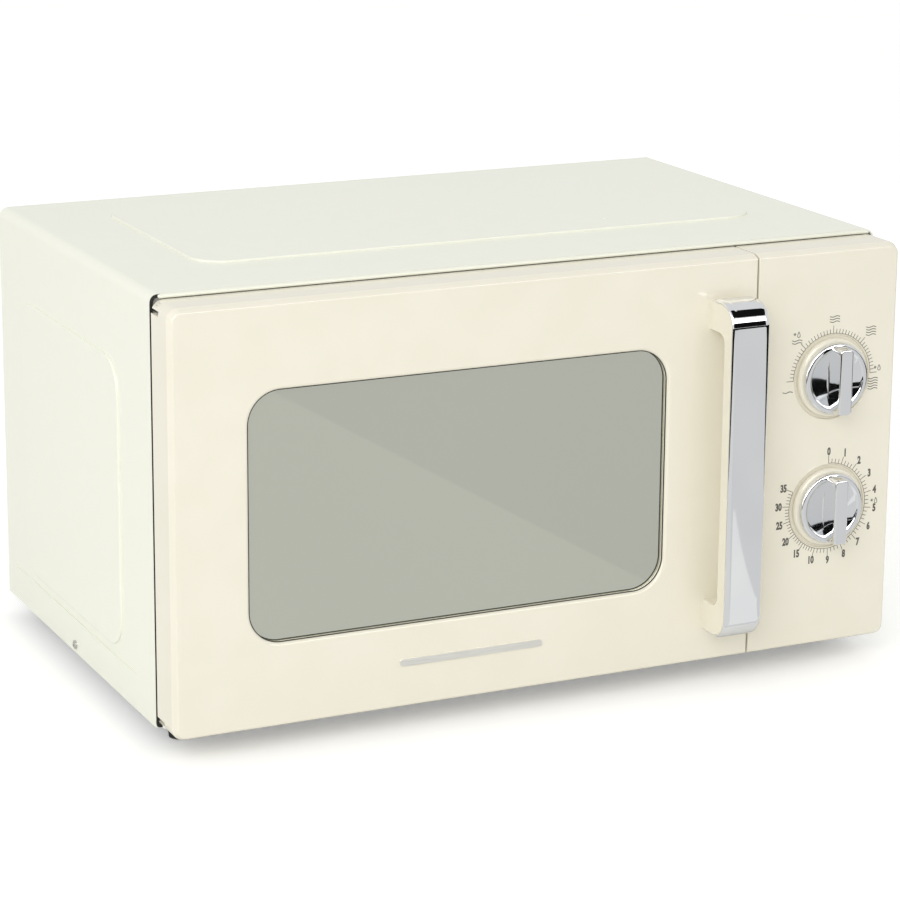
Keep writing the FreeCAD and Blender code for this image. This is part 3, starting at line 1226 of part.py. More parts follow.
def cooling_fan():
    """Shroud on the rear panel, motor on its spider, and the blades."""
    centre = ("fan_x", "fan_z")
    rear = "back_plate_front"
    front = f"{rear} - shroud_depth"
    outer = "fan_radius + joint_gap * 4 + shroud_wall"
    ring = minus(rod("Y", (front, f"{rear} - fit / 2"), centre, outer),
                 rod("Y", (f"{front} - 1", f"{rear} + 1"), centre, f"{outer} - shroud_wall"))
    motor_front = f"{rear} - fan_motor_depth"
    arms = [block((f"fan_x - ({outer}) + 1", f"fan_x + ({outer}) - 1"),
                  (f"{rear} - 6", f"{rear} - 3"), ("fan_z - 3", "fan_z + 3")),
            block(("fan_x - 3", "fan_x + 3"), (f"{rear} - 6", f"{rear} - 3"),
                  (f"fan_z - ({outer}) + 1", f"fan_z + ({outer}) - 1"))]
    sub_part("fan_shroud", joined(ring, *arms))
    motor = minus(rod("Y", (motor_front, f"{rear} - 6 - fit / 2"), centre, "fan_hub * 1.3"),
                  rod("Y", (f"{motor_front} - 1", f"{motor_front} + 8"), centre,
                      "shaft_radius + running_gap"))
    sub_part("fan_motor", motor)
    blade_rear = f"{motor_front} - joint_gap * 3"
    hub = joined(rod("Y", (f"{blade_rear} - fan_depth", blade_rear), centre, "fan_hub"),
                 rod("Y", (f"{blade_rear} - 1", f"{motor_front} + 7"), centre, "shaft_radius"))
    blades = []
    for number in range(size_count("blade_count")):
        blade = doc.addObject("Part::Box", "blade")
        blade.setExpression("Length", bound("fan_radius - fan_hub + 2"))
        blade.setExpression("Width", bound("blade_sheet"))
        blade.setExpression("Height", bound("blade_chord"))
        pitch = FreeCAD.Rotation(Vector(1, 0, 0), 52)
        spin = FreeCAD.Rotation(Vector(0, 1, 0), number * 360 / size("blade_count"))
        middle = Vector(size("fan_hub - 2"), -size("blade_sheet") / 2, -size("blade_chord") / 2)
        turned = FreeCAD.Placement(Vector(), spin.multiply(pitch))
        blade.Placement = turned.multiply(FreeCAD.Placement(middle, FreeCAD.Rotation()))
        offset = blade.Placement.Base
        seat(blade, f"fan_x + ({offset.x:.6f})",
             f"{blade_rear} - fan_depth / 2 + ({offset.y:.6f})", f"fan_z + ({offset.z:.6f})")
        blades.append(blade)
    sub_part("fan_blades", joined(hub, *blades))


def power_supply():
    """Transformer, capacitor in its clamp, diode, line filter and thermal cut-outs."""
    x0 = "fan_x - core_width / 2"
    x1 = "fan_x + core_width / 2"
    y = ("core_y - core_stack / 2", "core_y + core_stack / 2")
    z0, z1 = "base_top + fit / 2", "base_top + fit / 2 + core_height"
    leg = "core_width / 6"
    core = Piece("transformer_core")
    core.pad("XZ", y, rectangle((x0, x1), (z0, z1)))
    for low, high in ((f"{x0} + {leg}", f"fan_x - {leg}"), (f"fan_x + {leg}", f"{x1} - {leg}")):
        core.pocket("XZ", y, rectangle((low, high), (f"{z0} + {leg}", f"{z1} - {leg}")))
    ring_x = (f"{x0} + {leg} + fit", f"{x1} - {leg} - fit")
    ring_y = (f"{y[0]} - coil_bulge", f"{y[1]} + coil_bulge")
    middle = f"({z0} + {z1}) / 2"
    windings = []
    for low, high in ((f"{z0} + {leg} + fit", f"{middle} - 1"),
                      (f"{middle} + 1", f"{z1} - {leg} - fit")):
        whole = block(ring_x, ring_y, (low, high))
        hole = block((f"fan_x - {leg} - fit", f"fan_x + {leg} + fit"),
                     (f"{y[0]} - fit", f"{y[1]} + fit"), (f"{low} - 1", f"{high} + 1"))
        windings.append(minus(whole, hole))
    sub_part("transformer_windings", *windings)

    can = Piece("capacitor", at=("fan_x", "capacitor_y", "base_top + fit"))
    half = "capacitor_width / 2"
    can.pad("XZ", ("0", "capacitor_length"),
            rounded((f"-{half}", half), ("0", "capacitor_height"), "capacitor_height / 2 - 0.1"))
    for x in ("-10", "10"):
        can.pad("XZ", ("-6", "0.5"), circle(x, "capacitor_height / 2", "3"))
    strap = Piece("capacitor_clamp", at=("fan_x", "capacitor_y", "base_top"))
    width = ("capacitor_length / 2 - 7", "capacitor_length / 2 + 7")
    thick = "frame_sheet"
    strap.pad("XZ", width, rounded((f"-({half}) - {thick} - fit", f"{half} + {thick} + fit"),
                                   ("-20", f"capacitor_height + {thick} + 2 * fit"),
                                   "capacitor_height / 2"))
    strap.pad("XZ", width, rectangle((f"-({half}) - 10", f"{half} + 10"), ("0", thick)))
    strap.pocket("XZ", width, rounded((f"-({half}) - fit", f"{half} + fit"),
                                      ("-20", "capacitor_height + 2 * fit"),
                                      "capacitor_height / 2 - 0.2"))
    strap.pocket("XZ", width, rectangle((f"-({half}) - 20", f"{half} + 20"), ("-30", "0")))
    diode_x = "bay_left + 10"
    sub_part("high_voltage_diode", joined(
        rod("Y", ("capacitor_y + 4", "capacitor_y + 26"), (diode_x, "base_top + 3.6"), "3.5"),
        rod("Y", ("capacitor_y + 1", "capacitor_y + 33"), (diode_x, "base_top + 3.6"), "0.8")))
    filter_x = ("gland_x - 34", "gland_x + 14")
    sub_part("filter_board",
             joined(block(filter_x, ("filter_face", "filter_face + 1.6"),
                          ("gland_z + 12", "gland_z + 46")),
                    *[rod("Y", ("filter_face + 1", "back_plate_front"),
                          (x, "gland_z + 29"), "2.5")
                      for x in ("gland_x - 30", "gland_x + 10")],
                    rod("Y", ("filter_face - 12", "filter_face + 1"),
                        ("gland_x - 20", "gland_z + 30"), "9"),
                    block(("gland_x - 6", "gland_x + 10"), ("filter_face - 9", "filter_face + 1"),
                          ("gland_z + 20", "gland_z + 40"))))
    lamp_right = "bay_left + lamp_length"
    holder = minus(block(("bay_left", f"bay_left + 12"),
                         ("lamp_y - lamp_width * 0.8", "lamp_y + lamp_width * 0.8"),
                         ("lamp_z - lamp_width * 0.7", "lamp_z + lamp_width * 0.7")),
                   rod("X", ("bay_left - 1", "bay_left + 10"), ("lamp_y", "lamp_z"),
                       "lamp_width / 2"))
    sub_part("lamp_holder", joined(
        holder, block(("bay_left + 11", lamp_right), ("lamp_y - 8", "lamp_y + 8"),
                      ("lamp_z - 8", "lamp_z + 8"))))
    sub_part("oven_lamp", rod("X", ("bay_left + 1.5", "bay_left + 10 - fit"),
                              ("lamp_y", "lamp_z"), "lamp_width / 2 - 3"))
    discs = [joined(rod("X", ("bay_left", "bay_left + 7"), ("lamp_y - 34", "lamp_z"), "8"),
                    rod("X", ("bay_left", "bay_left + 1"), ("lamp_y - 34", "lamp_z"), "11")),
             rod("Z", ("cut_out_z", "cut_out_z + 6"),
                 ("tube_left + magnetron_width / 2", "tube_y"), "8")]
    sub_part("thermal_cutouts", *discs)


# ---------------------------------------------------------------- build and write

outer_case()
base_plate()
front_frame()
hinges()
rear_panel()
small_case_parts()
oven_cavity()
turntable()
door_shell()
door_inside()
door_handle()
door_latch()
control_panel()
dials()
latch_board()
microwave_source()
cooling_fan()
power_supply()

doc.recompute()
for item in doc.Objects:
    if any(flag in item.State for flag in ("Invalid", "Error")):
        raise RuntimeError(f"{item.Label} failed: {item.State}")
for item in subparts:
    if item.Shape.isNull() or not item.Shape.isValid():
        raise RuntimeError(f"{item.Label} has no valid shape")

os.makedirs("parts", exist_ok=True)
for item in subparts:
    item.Shape.exportStep(f"parts/{item.Label}.step")
print(f"{len(subparts)} sub-parts written")
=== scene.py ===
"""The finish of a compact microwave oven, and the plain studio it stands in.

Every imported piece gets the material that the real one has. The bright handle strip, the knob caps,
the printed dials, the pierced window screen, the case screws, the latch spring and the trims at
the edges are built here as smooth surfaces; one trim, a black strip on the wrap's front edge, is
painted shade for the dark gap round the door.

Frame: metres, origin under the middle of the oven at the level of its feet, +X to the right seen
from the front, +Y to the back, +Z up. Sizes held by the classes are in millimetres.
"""

import json
import logging
import math
from dataclasses import dataclass
from enum import Enum
from typing import Any

import bpy
import numpy as np
from mathutils import Matrix, Vector


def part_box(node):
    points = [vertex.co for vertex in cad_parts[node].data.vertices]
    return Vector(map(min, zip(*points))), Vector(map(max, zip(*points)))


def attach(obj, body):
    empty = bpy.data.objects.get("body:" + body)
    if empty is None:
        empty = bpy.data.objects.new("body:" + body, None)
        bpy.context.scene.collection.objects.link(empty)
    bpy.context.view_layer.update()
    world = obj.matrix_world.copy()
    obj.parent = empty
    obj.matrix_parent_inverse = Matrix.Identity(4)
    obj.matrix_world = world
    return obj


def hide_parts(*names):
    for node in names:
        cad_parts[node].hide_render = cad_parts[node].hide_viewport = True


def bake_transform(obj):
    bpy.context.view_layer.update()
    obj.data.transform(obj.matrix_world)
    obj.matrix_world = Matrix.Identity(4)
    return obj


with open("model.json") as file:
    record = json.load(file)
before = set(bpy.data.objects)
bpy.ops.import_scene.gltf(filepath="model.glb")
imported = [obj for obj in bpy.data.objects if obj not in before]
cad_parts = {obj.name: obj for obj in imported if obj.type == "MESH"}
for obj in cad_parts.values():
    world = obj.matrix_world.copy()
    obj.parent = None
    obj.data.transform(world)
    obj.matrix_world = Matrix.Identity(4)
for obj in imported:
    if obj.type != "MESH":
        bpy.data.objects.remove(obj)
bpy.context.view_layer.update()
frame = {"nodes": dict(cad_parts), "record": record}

Array = np.ndarray
Pair = tuple[float, float]
Point = tuple[float, float, float]
MM = 0.001
COARSE = 3.0    # mm: a pattern spaced wider than this has one octave of grain, a finer one three
TOP_STEP = 2.5  # mm from the control panel's top edge up to the top of the wrap
log = logging.getLogger("microwave_oven")


# ---- colours and shader nodes

def linear(code: str) -> tuple[float, float, float, float]:
    """Turn an sRGB colour into the linear one that shaders work in.

    Args:
        code: six hex digits, two each for red, green and blue.

    Returns:
        Linear red, green and blue, and an alpha of one.
    """
    shares = [int(code[i:i + 2], 16) / 255 for i in (0, 2, 4)]
    red, green, blue = (s / 12.92 if s <= 0.04045 else ((s + 0.055) / 1.055) ** 2.4
                        for s in shares)
    return red, green, blue, 1.0


def add_node(tree: bpy.types.NodeTree, kind: str, settings: dict[str, Any] | None = None,
             links: dict[str, bpy.types.NodeSocket] | None = None) -> bpy.types.Node:
    """Add one shader node.

    Args:
        tree: the material's node tree.
        kind: the node's type.
        settings: values for its properties (lower-case names) and its input sockets.
        links: for each input socket, the output socket that feeds it.

    Returns:
        The new node.
    """
    node = tree.nodes.new(kind)
    for name, value in (settings or {}).items():
        if name[0].islower():
            setattr(node, name, value)
        else:
            node.inputs[name].default_value = value
    for name, source in (links or {}).items():
        tree.links.new(source, node.inputs[name])
    return node


def blank_material(name: str) -> bpy.types.Material:
    """Make a material whose node tree is empty."""
    made = bpy.data.materials.new(name)
    made.use_nodes = True
    made.node_tree.nodes.clear()
    return made


def add_object(name: str, data: bpy.types.ID) -> bpy.types.Object:
    """Put a mesh, a light or a camera in the scene."""
    made = bpy.data.objects.new(name, data)
    bpy.context.scene.collection.objects.link(made)
    return made


class Pattern(Enum):
    """How a surface varies from place to place."""

    GRAIN = "even, random grain"
    SPANGLE = "crystals with straight edges"
    LAYERS = "parallel bands"
    FLECKS = "separate dark flecks"


@dataclass(frozen=True)
class Finish:
    """One real material and how its surface was made.

    colour and tint are the two ends of its colour variation; sheen holds its lowest and highest
    roughness; size is the pattern's spacing in mm and relief its height in mm; stretch scales
    the pattern along x, y and z, so that a value under one draws it out into lines.
    """

    name: str
    colour: str
    tint: str
    sheen: Pair
    size: float
    relief: float = 0.0
    pattern: Pattern = Pattern.GRAIN
    stretch: Point = (1.0, 1.0, 1.0)
    metallic: float = 0.0
    transmission: float = 0.0
    ior: float = 1.5

    def texture(self, tree: bpy.types.NodeTree) -> bpy.types.NodeSocket:
        """Add the nodes of this finish's pattern.

        Args:
            tree: the material's node tree.

        Returns:
            The socket that gives the pattern, from 0 to 1.
        """
        place = add_node(tree, "ShaderNodeTexCoord").outputs["Object"]
        spot = add_node(tree, "ShaderNodeMapping", {"Scale": self.stretch}, {"Vector": place})
        at = {"Vector": spot.outputs["Vector"]}
        per_metre = 1 / (self.size * MM)
        if self.pattern is Pattern.SPANGLE:
            cells = add_node(tree, "ShaderNodeTexVoronoi", {"Scale": per_metre}, at)
            return add_node(tree, "ShaderNodeRGBToBW", links={
                "Color": cells.outputs["Color"]}).outputs["Val"]
        if self.pattern is Pattern.LAYERS:
            # a wave texture repeats every pi / (10 scale), so this scale gives one band per size
            return add_node(tree, "ShaderNodeTexWave", {
                "bands_direction": "Y", "Scale": math.pi / 10 * per_metre,
                "Distortion": 0.4}, at).outputs["Fac"]
        grain = add_node(tree, "ShaderNodeTexNoise", {
            "Scale": per_metre, "Detail": 1.0 if self.size > COARSE else 3.0,
            "Roughness": 0.55}, at).outputs["Fac"]
        if self.pattern is Pattern.FLECKS:
            return add_node(tree, "ShaderNodeMapRange", {
                "From Min": 0.56, "From Max": 0.66}, {"Value": grain}).outputs["Result"]
        return grain

    def material(self) -> bpy.types.Material:
        """Build the material, or find it if it was built before."""
        if self.name in bpy.data.materials:
            return bpy.data.materials[self.name]
        made = blank_material(self.name)
        tree = made.node_tree
        pattern = self.texture(tree)
        ramp = add_node(tree, "ShaderNodeValToRGB", links={"Fac": pattern})
        for stop, place, code in zip(ramp.color_ramp.elements, (0.3, 0.7),
                                     (self.colour, self.tint)):
            stop.position, stop.color = place, linear(code)
        rough = add_node(tree, "ShaderNodeMapRange", {
            "To Min": self.sheen[0], "To Max": self.sheen[1]}, {"Value": pattern})
        links = {"Base Color": ramp.outputs["Color"], "Roughness": rough.outputs["Result"]}
        if self.relief:
            links["Normal"] = add_node(tree, "ShaderNodeBump", {
                "Distance": self.relief * MM, "Strength": 1.0}, {
                "Height": pattern}).outputs["Normal"]
        settings = {"Metallic": self.metallic, "Transmission Weight": self.transmission}
        if not self.metallic:
            settings["IOR"] = self.ior
        shader = add_node(tree, "ShaderNodeBsdfPrincipled", settings, links)
        add_node(tree, "ShaderNodeOutputMaterial", links={"Surface": shader.outputs["BSDF"]})
        return made


# ink, pad printed: a warm dark grey, thin and slightly uneven
DIAL_INK = Finish("ink_pad_printed_grey", "57534C", "5F5B54", (0.44, 0.54), 0.9)

FINISHES = {
    # steel sheet, sprayed with baking enamel: a cooler cream with the fine ripple of orange peel
    "case_enamel": Finish("steel_sprayed_enamel_cream", "F2F3E5", "F1F2E3", (0.24, 0.28), 9.0,
        0.006),
    # hot-dip galvanised steel: zinc crystals 5 mm across, each a shade of its own
    "galvanised_sheet": Finish("steel_hot_dip_galvanised", "BDC0C2", "B3B6B9", (0.32, 0.44), 5.0,
        0.0, Pattern.SPANGLE, metallic=1.0),
    # steel sheet, spray enamelled grey inside: a satin that wipes clean, with a fine peel
    "cavity_enamel": Finish("steel_sprayed_enamel_grey", "CFCDC6", "C6C4BD", (0.28, 0.38), 2.4,
        0.012),
    # rubber, moulded in a blasted tool: dull black with a fine, even grain
    "foot_plastic": Finish("rubber_moulded_black", "141413", "1F1E1D", (0.62, 0.80), 0.8, 0.03),
    # steel, turned and zinc plated: bright, with lathe marks a third of a millimetre apart
    "screw_steel": Finish("steel_turned_zinc_plated", "D0D0CC", "B6B6B2", (0.18, 0.32), 0.35,
        0.003, metallic=1.0),
    # ABS, injection moulded in a polished tool: an even cream with a soft gloss and a faint ripple
    "cream_plastic": Finish("abs_moulded_cream", "EEE9D9", "ECE7D6", (0.12, 0.17), 26.0, 0.012),
    # ABS, plated with chromium over nickel: a clear mirror with a faint long ripple of the
    # moulding
    "chromed_plastic": Finish("abs_chromium_plated", "E9EAEC", "E4E6E9", (0.03, 0.06), 40.0, 0.01,
        metallic=1.0),
    # aluminium, brushed along its length and anodised: fine streaks that spread the highlight
    "satin_metal": Finish("aluminium_brushed_anodised", "F1F0EB", "E2E1DC", (0.26, 0.38), 0.5,
        0.004, stretch=(0.03, 1.0, 1.0), metallic=1.0),
    # float glass with a sputtered metal film behind it: a grey-green half mirror
    "window_glass": Finish("float_glass_half_silvered", "C8CABF", "C6C8BD", (0.02, 0.035), 180.0,
        metallic=0.92),
    # soda-lime glass, pressed: clear, faintly green, with a slow ripple from the mould
    "turntable_glass": Finish("soda_lime_glass_pressed", "EAF5F0", "E2F0EA", (0.02, 0.06), 14.0,
        0.03, transmission=1.0, ior=1.52),
    # steel sheet, pierced and sprayed with black enamel: near black, half dull
    "black_screen": Finish("steel_pierced_black_enamel", "141414", "1D1D1C", (0.38, 0.52), 1.2,
        0.004),
    # polypropylene, moulded in a spark-eroded tool: dark grey, dull, finely grained
    "choke_plastic": Finish("polypropylene_grained_dark_grey", "3A3A39", "333332", (0.46, 0.60),
        0.7, 0.02),
    # polyester film: clear, thin, slightly uneven
    "clear_film": Finish("polyester_film_drawn", "F4F6F3", "EEF1EE", (0.05, 0.10), 60.0, 0.01,
        transmission=1.0, ior=1.6),
    # polypropylene, moulded smooth: a milky white with a low gloss
    "white_plastic": Finish("polypropylene_moulded_white", "ECEBE6", "E5E4DE", (0.34, 0.46), 1.4,
        0.01),
    # spring wire, drawn: grey, with marks along it from the die
    "spring_steel": Finish("spring_steel_drawn", "A5A6A8", "8E9092", (0.22, 0.36), 0.4, 0.003,
        stretch=(1.0, 1.0, 0.2), metallic=1.0),
    # nylon, moulded: black here and red below, half dull and slightly grained
    "black_plastic": Finish("nylon_moulded_black", "1B1B1B", "242423", (0.40, 0.55), 0.9, 0.012),
    "red_plastic": Finish("nylon_moulded_red", "A32B22", "95241D", (0.36, 0.50), 0.9, 0.01),
    # zinc-coated steel, rolled: satin, with faint lines along the rolling
    "timer_casing": Finish("steel_rolled_zinc_coated", "C4C4BF", "B2B2AD", (0.28, 0.42), 0.9,
        0.003, stretch=(1.0, 0.06, 1.0), metallic=1.0),
    # acetal, moulded without pigment: waxy and pale
    "ring_plastic": Finish("acetal_moulded_natural", "E2E0D8", "D9D7CE", (0.36, 0.48), 1.1, 0.01),
    # silicon steel, punched and stacked: half-millimetre layers, drawn at 1 mm to show
    "laminated_steel": Finish("silicon_steel_laminated", "6D6E72", "4A4B4F", (0.38, 0.60), 1.0,
        0.06, Pattern.LAYERS, metallic=1.0),
    # copper wire, enamelled and wound: turns 1 mm apart, drawn at 1.4 mm to show
    "copper_winding": Finish("copper_wire_enamelled_wound", "B4693A", "7E3F1E", (0.22, 0.40), 1.4,
        0.10, Pattern.LAYERS, metallic=1.0),
    # aluminium, deep drawn: a soft satin with long draw marks
    "capacitor_can": Finish("aluminium_deep_drawn", "CDCED0", "BDBEC1", (0.26, 0.38), 1.2, 0.004,
        stretch=(1.0, 0.15, 1.0), metallic=1.0),
    # paper laminate, pressed with phenolic resin: brown, with the mottle of its paper
    "board_laminate": Finish("phenolic_paper_laminate", "9A7343", "85602F", (0.40, 0.56), 1.6,
        0.008),
    # mica flakes pressed to a sheet: pale brown with flecks and a pearly sheen
    "mica_sheet": Finish("mica_pressed_sheet", "BFB297", "A79670", (0.30, 0.46), 3.5, 0.01,
        Pattern.FLECKS),
    # aluminium sheet as it left the mill: pale, with lines along the rolling
    "fin_aluminium": Finish("aluminium_sheet_mill", "D5D6D8", "C4C5C8", (0.28, 0.42), 0.8, 0.003,
        stretch=(1.0, 1.0, 0.08), metallic=1.0),
    # ceramic, slip cast and glazed: warm white with a wet gloss
    "ceramic": Finish("ceramic_glazed_white", "EFEBE3", "E6E1D6", (0.12, 0.20), 5.0, 0.01),
}


# ---- surfaces

@dataclass(frozen=True)
class Shape:
    """A closed surface: points in mm, and its faces as rows of four or three point numbers."""

    points: Array
    fours: Array
    threes: Array

    def __add__(self, other: "Shape") -> "Shape":
        """Put two shapes in one mesh."""
        start = len(self.points)
        return Shape(np.vstack([self.points, other.points]),
                     np.vstack([self.fours, other.fours + start]),
                     np.vstack([self.threes, other.threes + start]))

    def moved(self, centre: Point) -> "Shape":
        """The same shape with its own origin at centre."""
        return Shape(self.points + np.array(centre), self.fours, self.threes)

    def outward(self) -> "Shape":
        """Turn the faces outward: the volume they enclose, summed over triangles, is positive.

        Returns:
            This shape, or the same one with every face the other way round.
        """
        triangles = np.vstack([self.threes, self.fours[:, [0, 1, 2]], self.fours[:, [0, 2, 3]]])
        a, b, c = (self.points[triangles[:, i]] for i in range(3))
        if np.einsum("ij,ij->", a, np.cross(b, c)) >= 0:
            return self
        return Shape(self.points, self.fours[:, ::-1], self.threes[:, ::-1])


def clockwise(angle: Array) -> Array:
    """The way (sin a, cos a) at each angle a, one per row."""
    return np.stack([np.sin(angle), np.cos(angle)], axis=-1)


def full_turn(spans: int) -> Array:
    """The angles of a full turn in equal spans, without the last."""
    return np.arange(spans) * 2 * math.pi / spans


def quads(*corners: Array) -> Array:
    """Faces of four from four arrays of point numbers, one for each corner."""
    return np.stack(corners, axis=-1).reshape(-1, 4)


def surface(points: Array, ring_rows: bool = False) -> Shape:
    """Close a grid of points into a surface.

    Every row is a closed ring. The rows either follow one another round in a ring too, or the
    first and the last are each one point, a pole.

    Args:
        points: a grid of positions, rows by columns by three.
        ring_rows: True if the last row joins the first.

    Returns:
        The closed shape.
    """
    rows, columns = points.shape[:2]
    number = np.arange(rows * columns).reshape(rows, columns)
    if not ring_rows:
        number[0], number[-1] = number[0, 0], number[-1, 0]
    upper = number if ring_rows else number[:-1]
    lower = np.roll(number, -1, axis=0) if ring_rows else number[1:]
    faces = quads(upper, lower, np.roll(lower, -1, axis=1), np.roll(upper, -1, axis=1))
    at_first, at_last = faces[:, 0] == faces[:, 3], faces[:, 1] == faces[:, 2]
    threes = np.vstack([faces[at_first][:, [0, 1, 2]], faces[at_last][:, [0, 1, 3]]])
    fours = faces[~(at_first | at_last)]
    used, renumbered = np.unique(np.concatenate([threes.ravel(), fours.ravel()]),
                                 return_inverse=True)
    renumbered = renumbered.ravel()
    return Shape(points.reshape(-1, 3)[used], renumbered[threes.size:].reshape(-1, 4),
                 renumbered[:threes.size].reshape(-1, 3)).outward()


def capped(rings: Array) -> Shape:
    """Join rings in a row, and close each end with a point in the middle of its ring."""
    middle = rings[[0, -1]].mean(axis=1, keepdims=True).repeat(rings.shape[1], axis=1)
    return surface(np.concatenate([middle[:1], rings, middle[1:]]))


def rounded_line(corners: list[Point], steps: int = 6) -> Array:
    """A line through corners, each rounded by a curve.

    A corner with a radius becomes the quadratic curve (1-t)^2 A + 2t(1-t) B + t^2 C, where B is
    the corner and A and C lie one radius before and after it on the straight runs.

    Args:
        corners: two coordinates and a radius for each point; the end points keep no radius.
        steps: how many spans each curve has.

    Returns:
        The points of the rounded line, one per row.
    """
    flat = np.array([corner[:2] for corner in corners])
    t = np.linspace(0, 1, steps + 1)[:, None]
    parts = [flat[:1]]
    for index in range(1, len(corners) - 1):
        before, corner, after = flat[index - 1:index + 2]
        radius = corners[index][2]
        if not radius:
            parts.append(corner[None])
            continue
        start = corner + (before - corner) / np.linalg.norm(before - corner) * radius
        end = corner + (after - corner) / np.linalg.norm(after - corner) * radius
        parts.append((1 - t) ** 2 * start + 2 * t * (1 - t) * corner + t ** 2 * end)
    return np.vstack(parts + [flat[-1:]])


def lathe(line: Array, spans: int = 96) -> Shape:
    """Turn a line about the Y axis: the point (r, d) sweeps (r sin a, d, r cos a).

    Args:
        line: radius and depth of each point, with radius zero at both ends.
        spans: how many spans the full turn has.

    Returns:
        The closed shape.
    """
    angle = full_turn(spans)
    radius, depth = line[:, :1], line[:, 1:2]
    return surface(np.stack([radius * np.sin(angle), depth + 0 * angle, radius * np.cos(angle)],
                            axis=-1))


def strip(path: Array, width: float, front: float, thick: float, closed: bool = False) -> Shape:
    """A thin flat line of ink or metal along a path in an upright plane.

    At each point the strip reaches half its width to each side, square to the path, and from
    the level front back by thick.

    Args:
        path: x and z of each point.
        width: the strip's width.
        front: the Y level of its front face.
        thick: how far it goes back from there.
        closed: True if the last point joins the first.

    Returns:
        The closed shape.
    """
    ends = np.vstack([path[-1:], path, path[:1]]) if closed else np.vstack(
        [2 * path[:1] - path[1:2], path, 2 * path[-1:] - path[-2:-1]])
    along = ends[2:] - ends[:-2]
    along = along / np.linalg.norm(along, axis=1, keepdims=True)
    side = np.stack([-along[:, 1], along[:, 0]], axis=1) * width / 2
    corners = [(path + side, front), (path - side, front),
               (path - side, front + thick), (path + side, front + thick)]
    rings = np.stack([np.stack([p[:, 0], np.full(len(p), y), p[:, 1]], axis=1)
                      for p, y in corners], axis=1)
    return surface(rings, ring_rows=True) if closed else capped(rings)


def together(shapes: list[Shape]) -> Shape:
    """Put a list of shapes in one mesh."""
    whole = shapes[0]
    for shape in shapes[1:]:
        whole = whole + shape
    return whole


def place(name: str, shape: Shape, body: str | None, slot: str, finish: Finish | None = None,
          instead_of: str | None = None, crisp: float = 32.0) -> bpy.types.Object:
    """Make a shape an object of the scene, in its finish, on the body that it moves with.

    Args:
        name: the piece's name.
        shape: its surface, in mm in the oven's frame.
        body: the moving or fixed body that it rides on, or None if it goes with two.
        slot: the finish slot that it belongs to.
        finish: its finish, if that isn't the slot's own.
        instead_of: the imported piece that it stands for.
        crisp: edges that turn by more than this many degrees stay sharp.

    Returns:
        The new object.
    """
    mesh = bpy.data.meshes.new(name)
    mesh.from_pydata((shape.points * MM).tolist(), [],
                     shape.fours.tolist() + shape.threes.tolist())
    mesh.polygons.foreach_set("use_smooth", np.ones(len(mesh.polygons), dtype=bool))
    mesh.set_sharp_from_angle(angle=math.radians(crisp))
    mesh.materials.append((finish or FINISHES[slot]).material())
    mesh.update()
    piece = add_object(name, mesh)
    if body:
        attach(piece, body)
    if instead_of:
        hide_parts(instead_of)
    log.info("%s: %d faces on %s", name, len(mesh.polygons), body or "two bodies")
    return piece


def box_mm(node: str) -> tuple[Array, Array]:
    """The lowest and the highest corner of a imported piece, in mm."""
    low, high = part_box(node)
    return np.array(low) / MM, np.array(high) / MM


def half_width() -> float:
    """Half the width of the wrap, in mm, without what is pressed out of its sides."""
    return box_mm("control_panel")[1][0]


def case_top() -> float:
    """The level of the wrap's top, in mm, without what is pressed out of it."""
    return box_mm("control_panel")[1][2] + TOP_STEP


# ---- sub-assemblies

@dataclass(frozen=True)
class PackedPieces:
    """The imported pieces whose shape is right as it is."""

    def dress(self) -> None:
        """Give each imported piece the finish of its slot."""
        for part in frame["record"]["subparts"]:
            mesh = frame["nodes"][part["node"]].data
            finish = FINISHES[part["material_slot"]].material()
            mesh.materials.clear()
            mesh.materials.append(finish)
            log.info("%s: %s", part["node"], finish.name)


@dataclass(frozen=True)
class HandleStrip:
    """The bright strip that wraps the front and both ends of the door handle."""

    corner: float = 14.0
    thickness: float = 2.0
    edge: Pair = (3.2, 1.3)
    crown: float = 0.2

    def path(self, low: Array, high: Array) -> tuple[Array, Array]:
        """The strip's outer line seen from the side, with the way out of it at each point.

        It runs forward under the lower end, round a quarter circle of the corner radius, up the
        front, round another and back over the upper end.

        Args:
            low: the strip's lowest corner.
            high: its highest corner.

        Returns:
            The y and z of each point, and the outward direction there.
        """
        turn = np.radians(np.linspace(0, 90, 19))
        r, front, back = self.corner, low[1], high[1]
        down, up = -clockwise(turn), np.stack([-np.cos(turn), np.sin(turn)], axis=1)
        lower = np.array([front + r, low[2] + r]) + r * down
        upper = np.array([front + r, high[2] - r]) + r * up
        levels = np.linspace(low[2] + r, high[2] - r, 25)[1:-1]
        front_line = np.stack([np.full(levels.size, front), levels], axis=1)
        ahead = np.tile([-1.0, 0.0], (levels.size, 1))
        points = np.vstack([[[back, low[2]]], lower, front_line, upper, [[back, high[2]]]])
        return points, np.vstack([down[:1], down, ahead, up, up[-1:]])

    def build(self) -> None:
        """Carry the strip's section along its path.

        The section is a flat bar with a quarter ellipse at each edge and a slightly crowned
        face: across the width, the face lies crown * (x / half width)^2 behind the path.
        """
        low, high = box_mm("handle_trim")
        points, out = self.path(low, high)
        half, (edge, fall) = (high[0] - low[0]) / 2, self.edge
        turn = np.radians(np.linspace(0, 90, 13))
        across = np.linspace(edge - half, half - edge, 17)
        right = half - edge + edge * np.sin(turn)
        depth = fall - fall * np.cos(turn)
        flat = self.thickness
        x = np.concatenate([across, right, [half, -half], -right[::-1]])
        d = np.concatenate([0 * across, depth, [flat, flat], depth[::-1]])
        d = d + self.crown * (x / half) ** 2 * (d < flat)
        centre = (low[0] + high[0]) / 2
        grid = np.stack([np.broadcast_to(centre + x, (len(points), x.size)),
                         points[:, :1] - out[:, :1] * d, points[:, 1:] - out[:, 1:] * d], axis=-1)
        place("handle_bright_strip", capped(grid), "door", "chromed_plastic",
              instead_of="handle_trim", crisp=40)


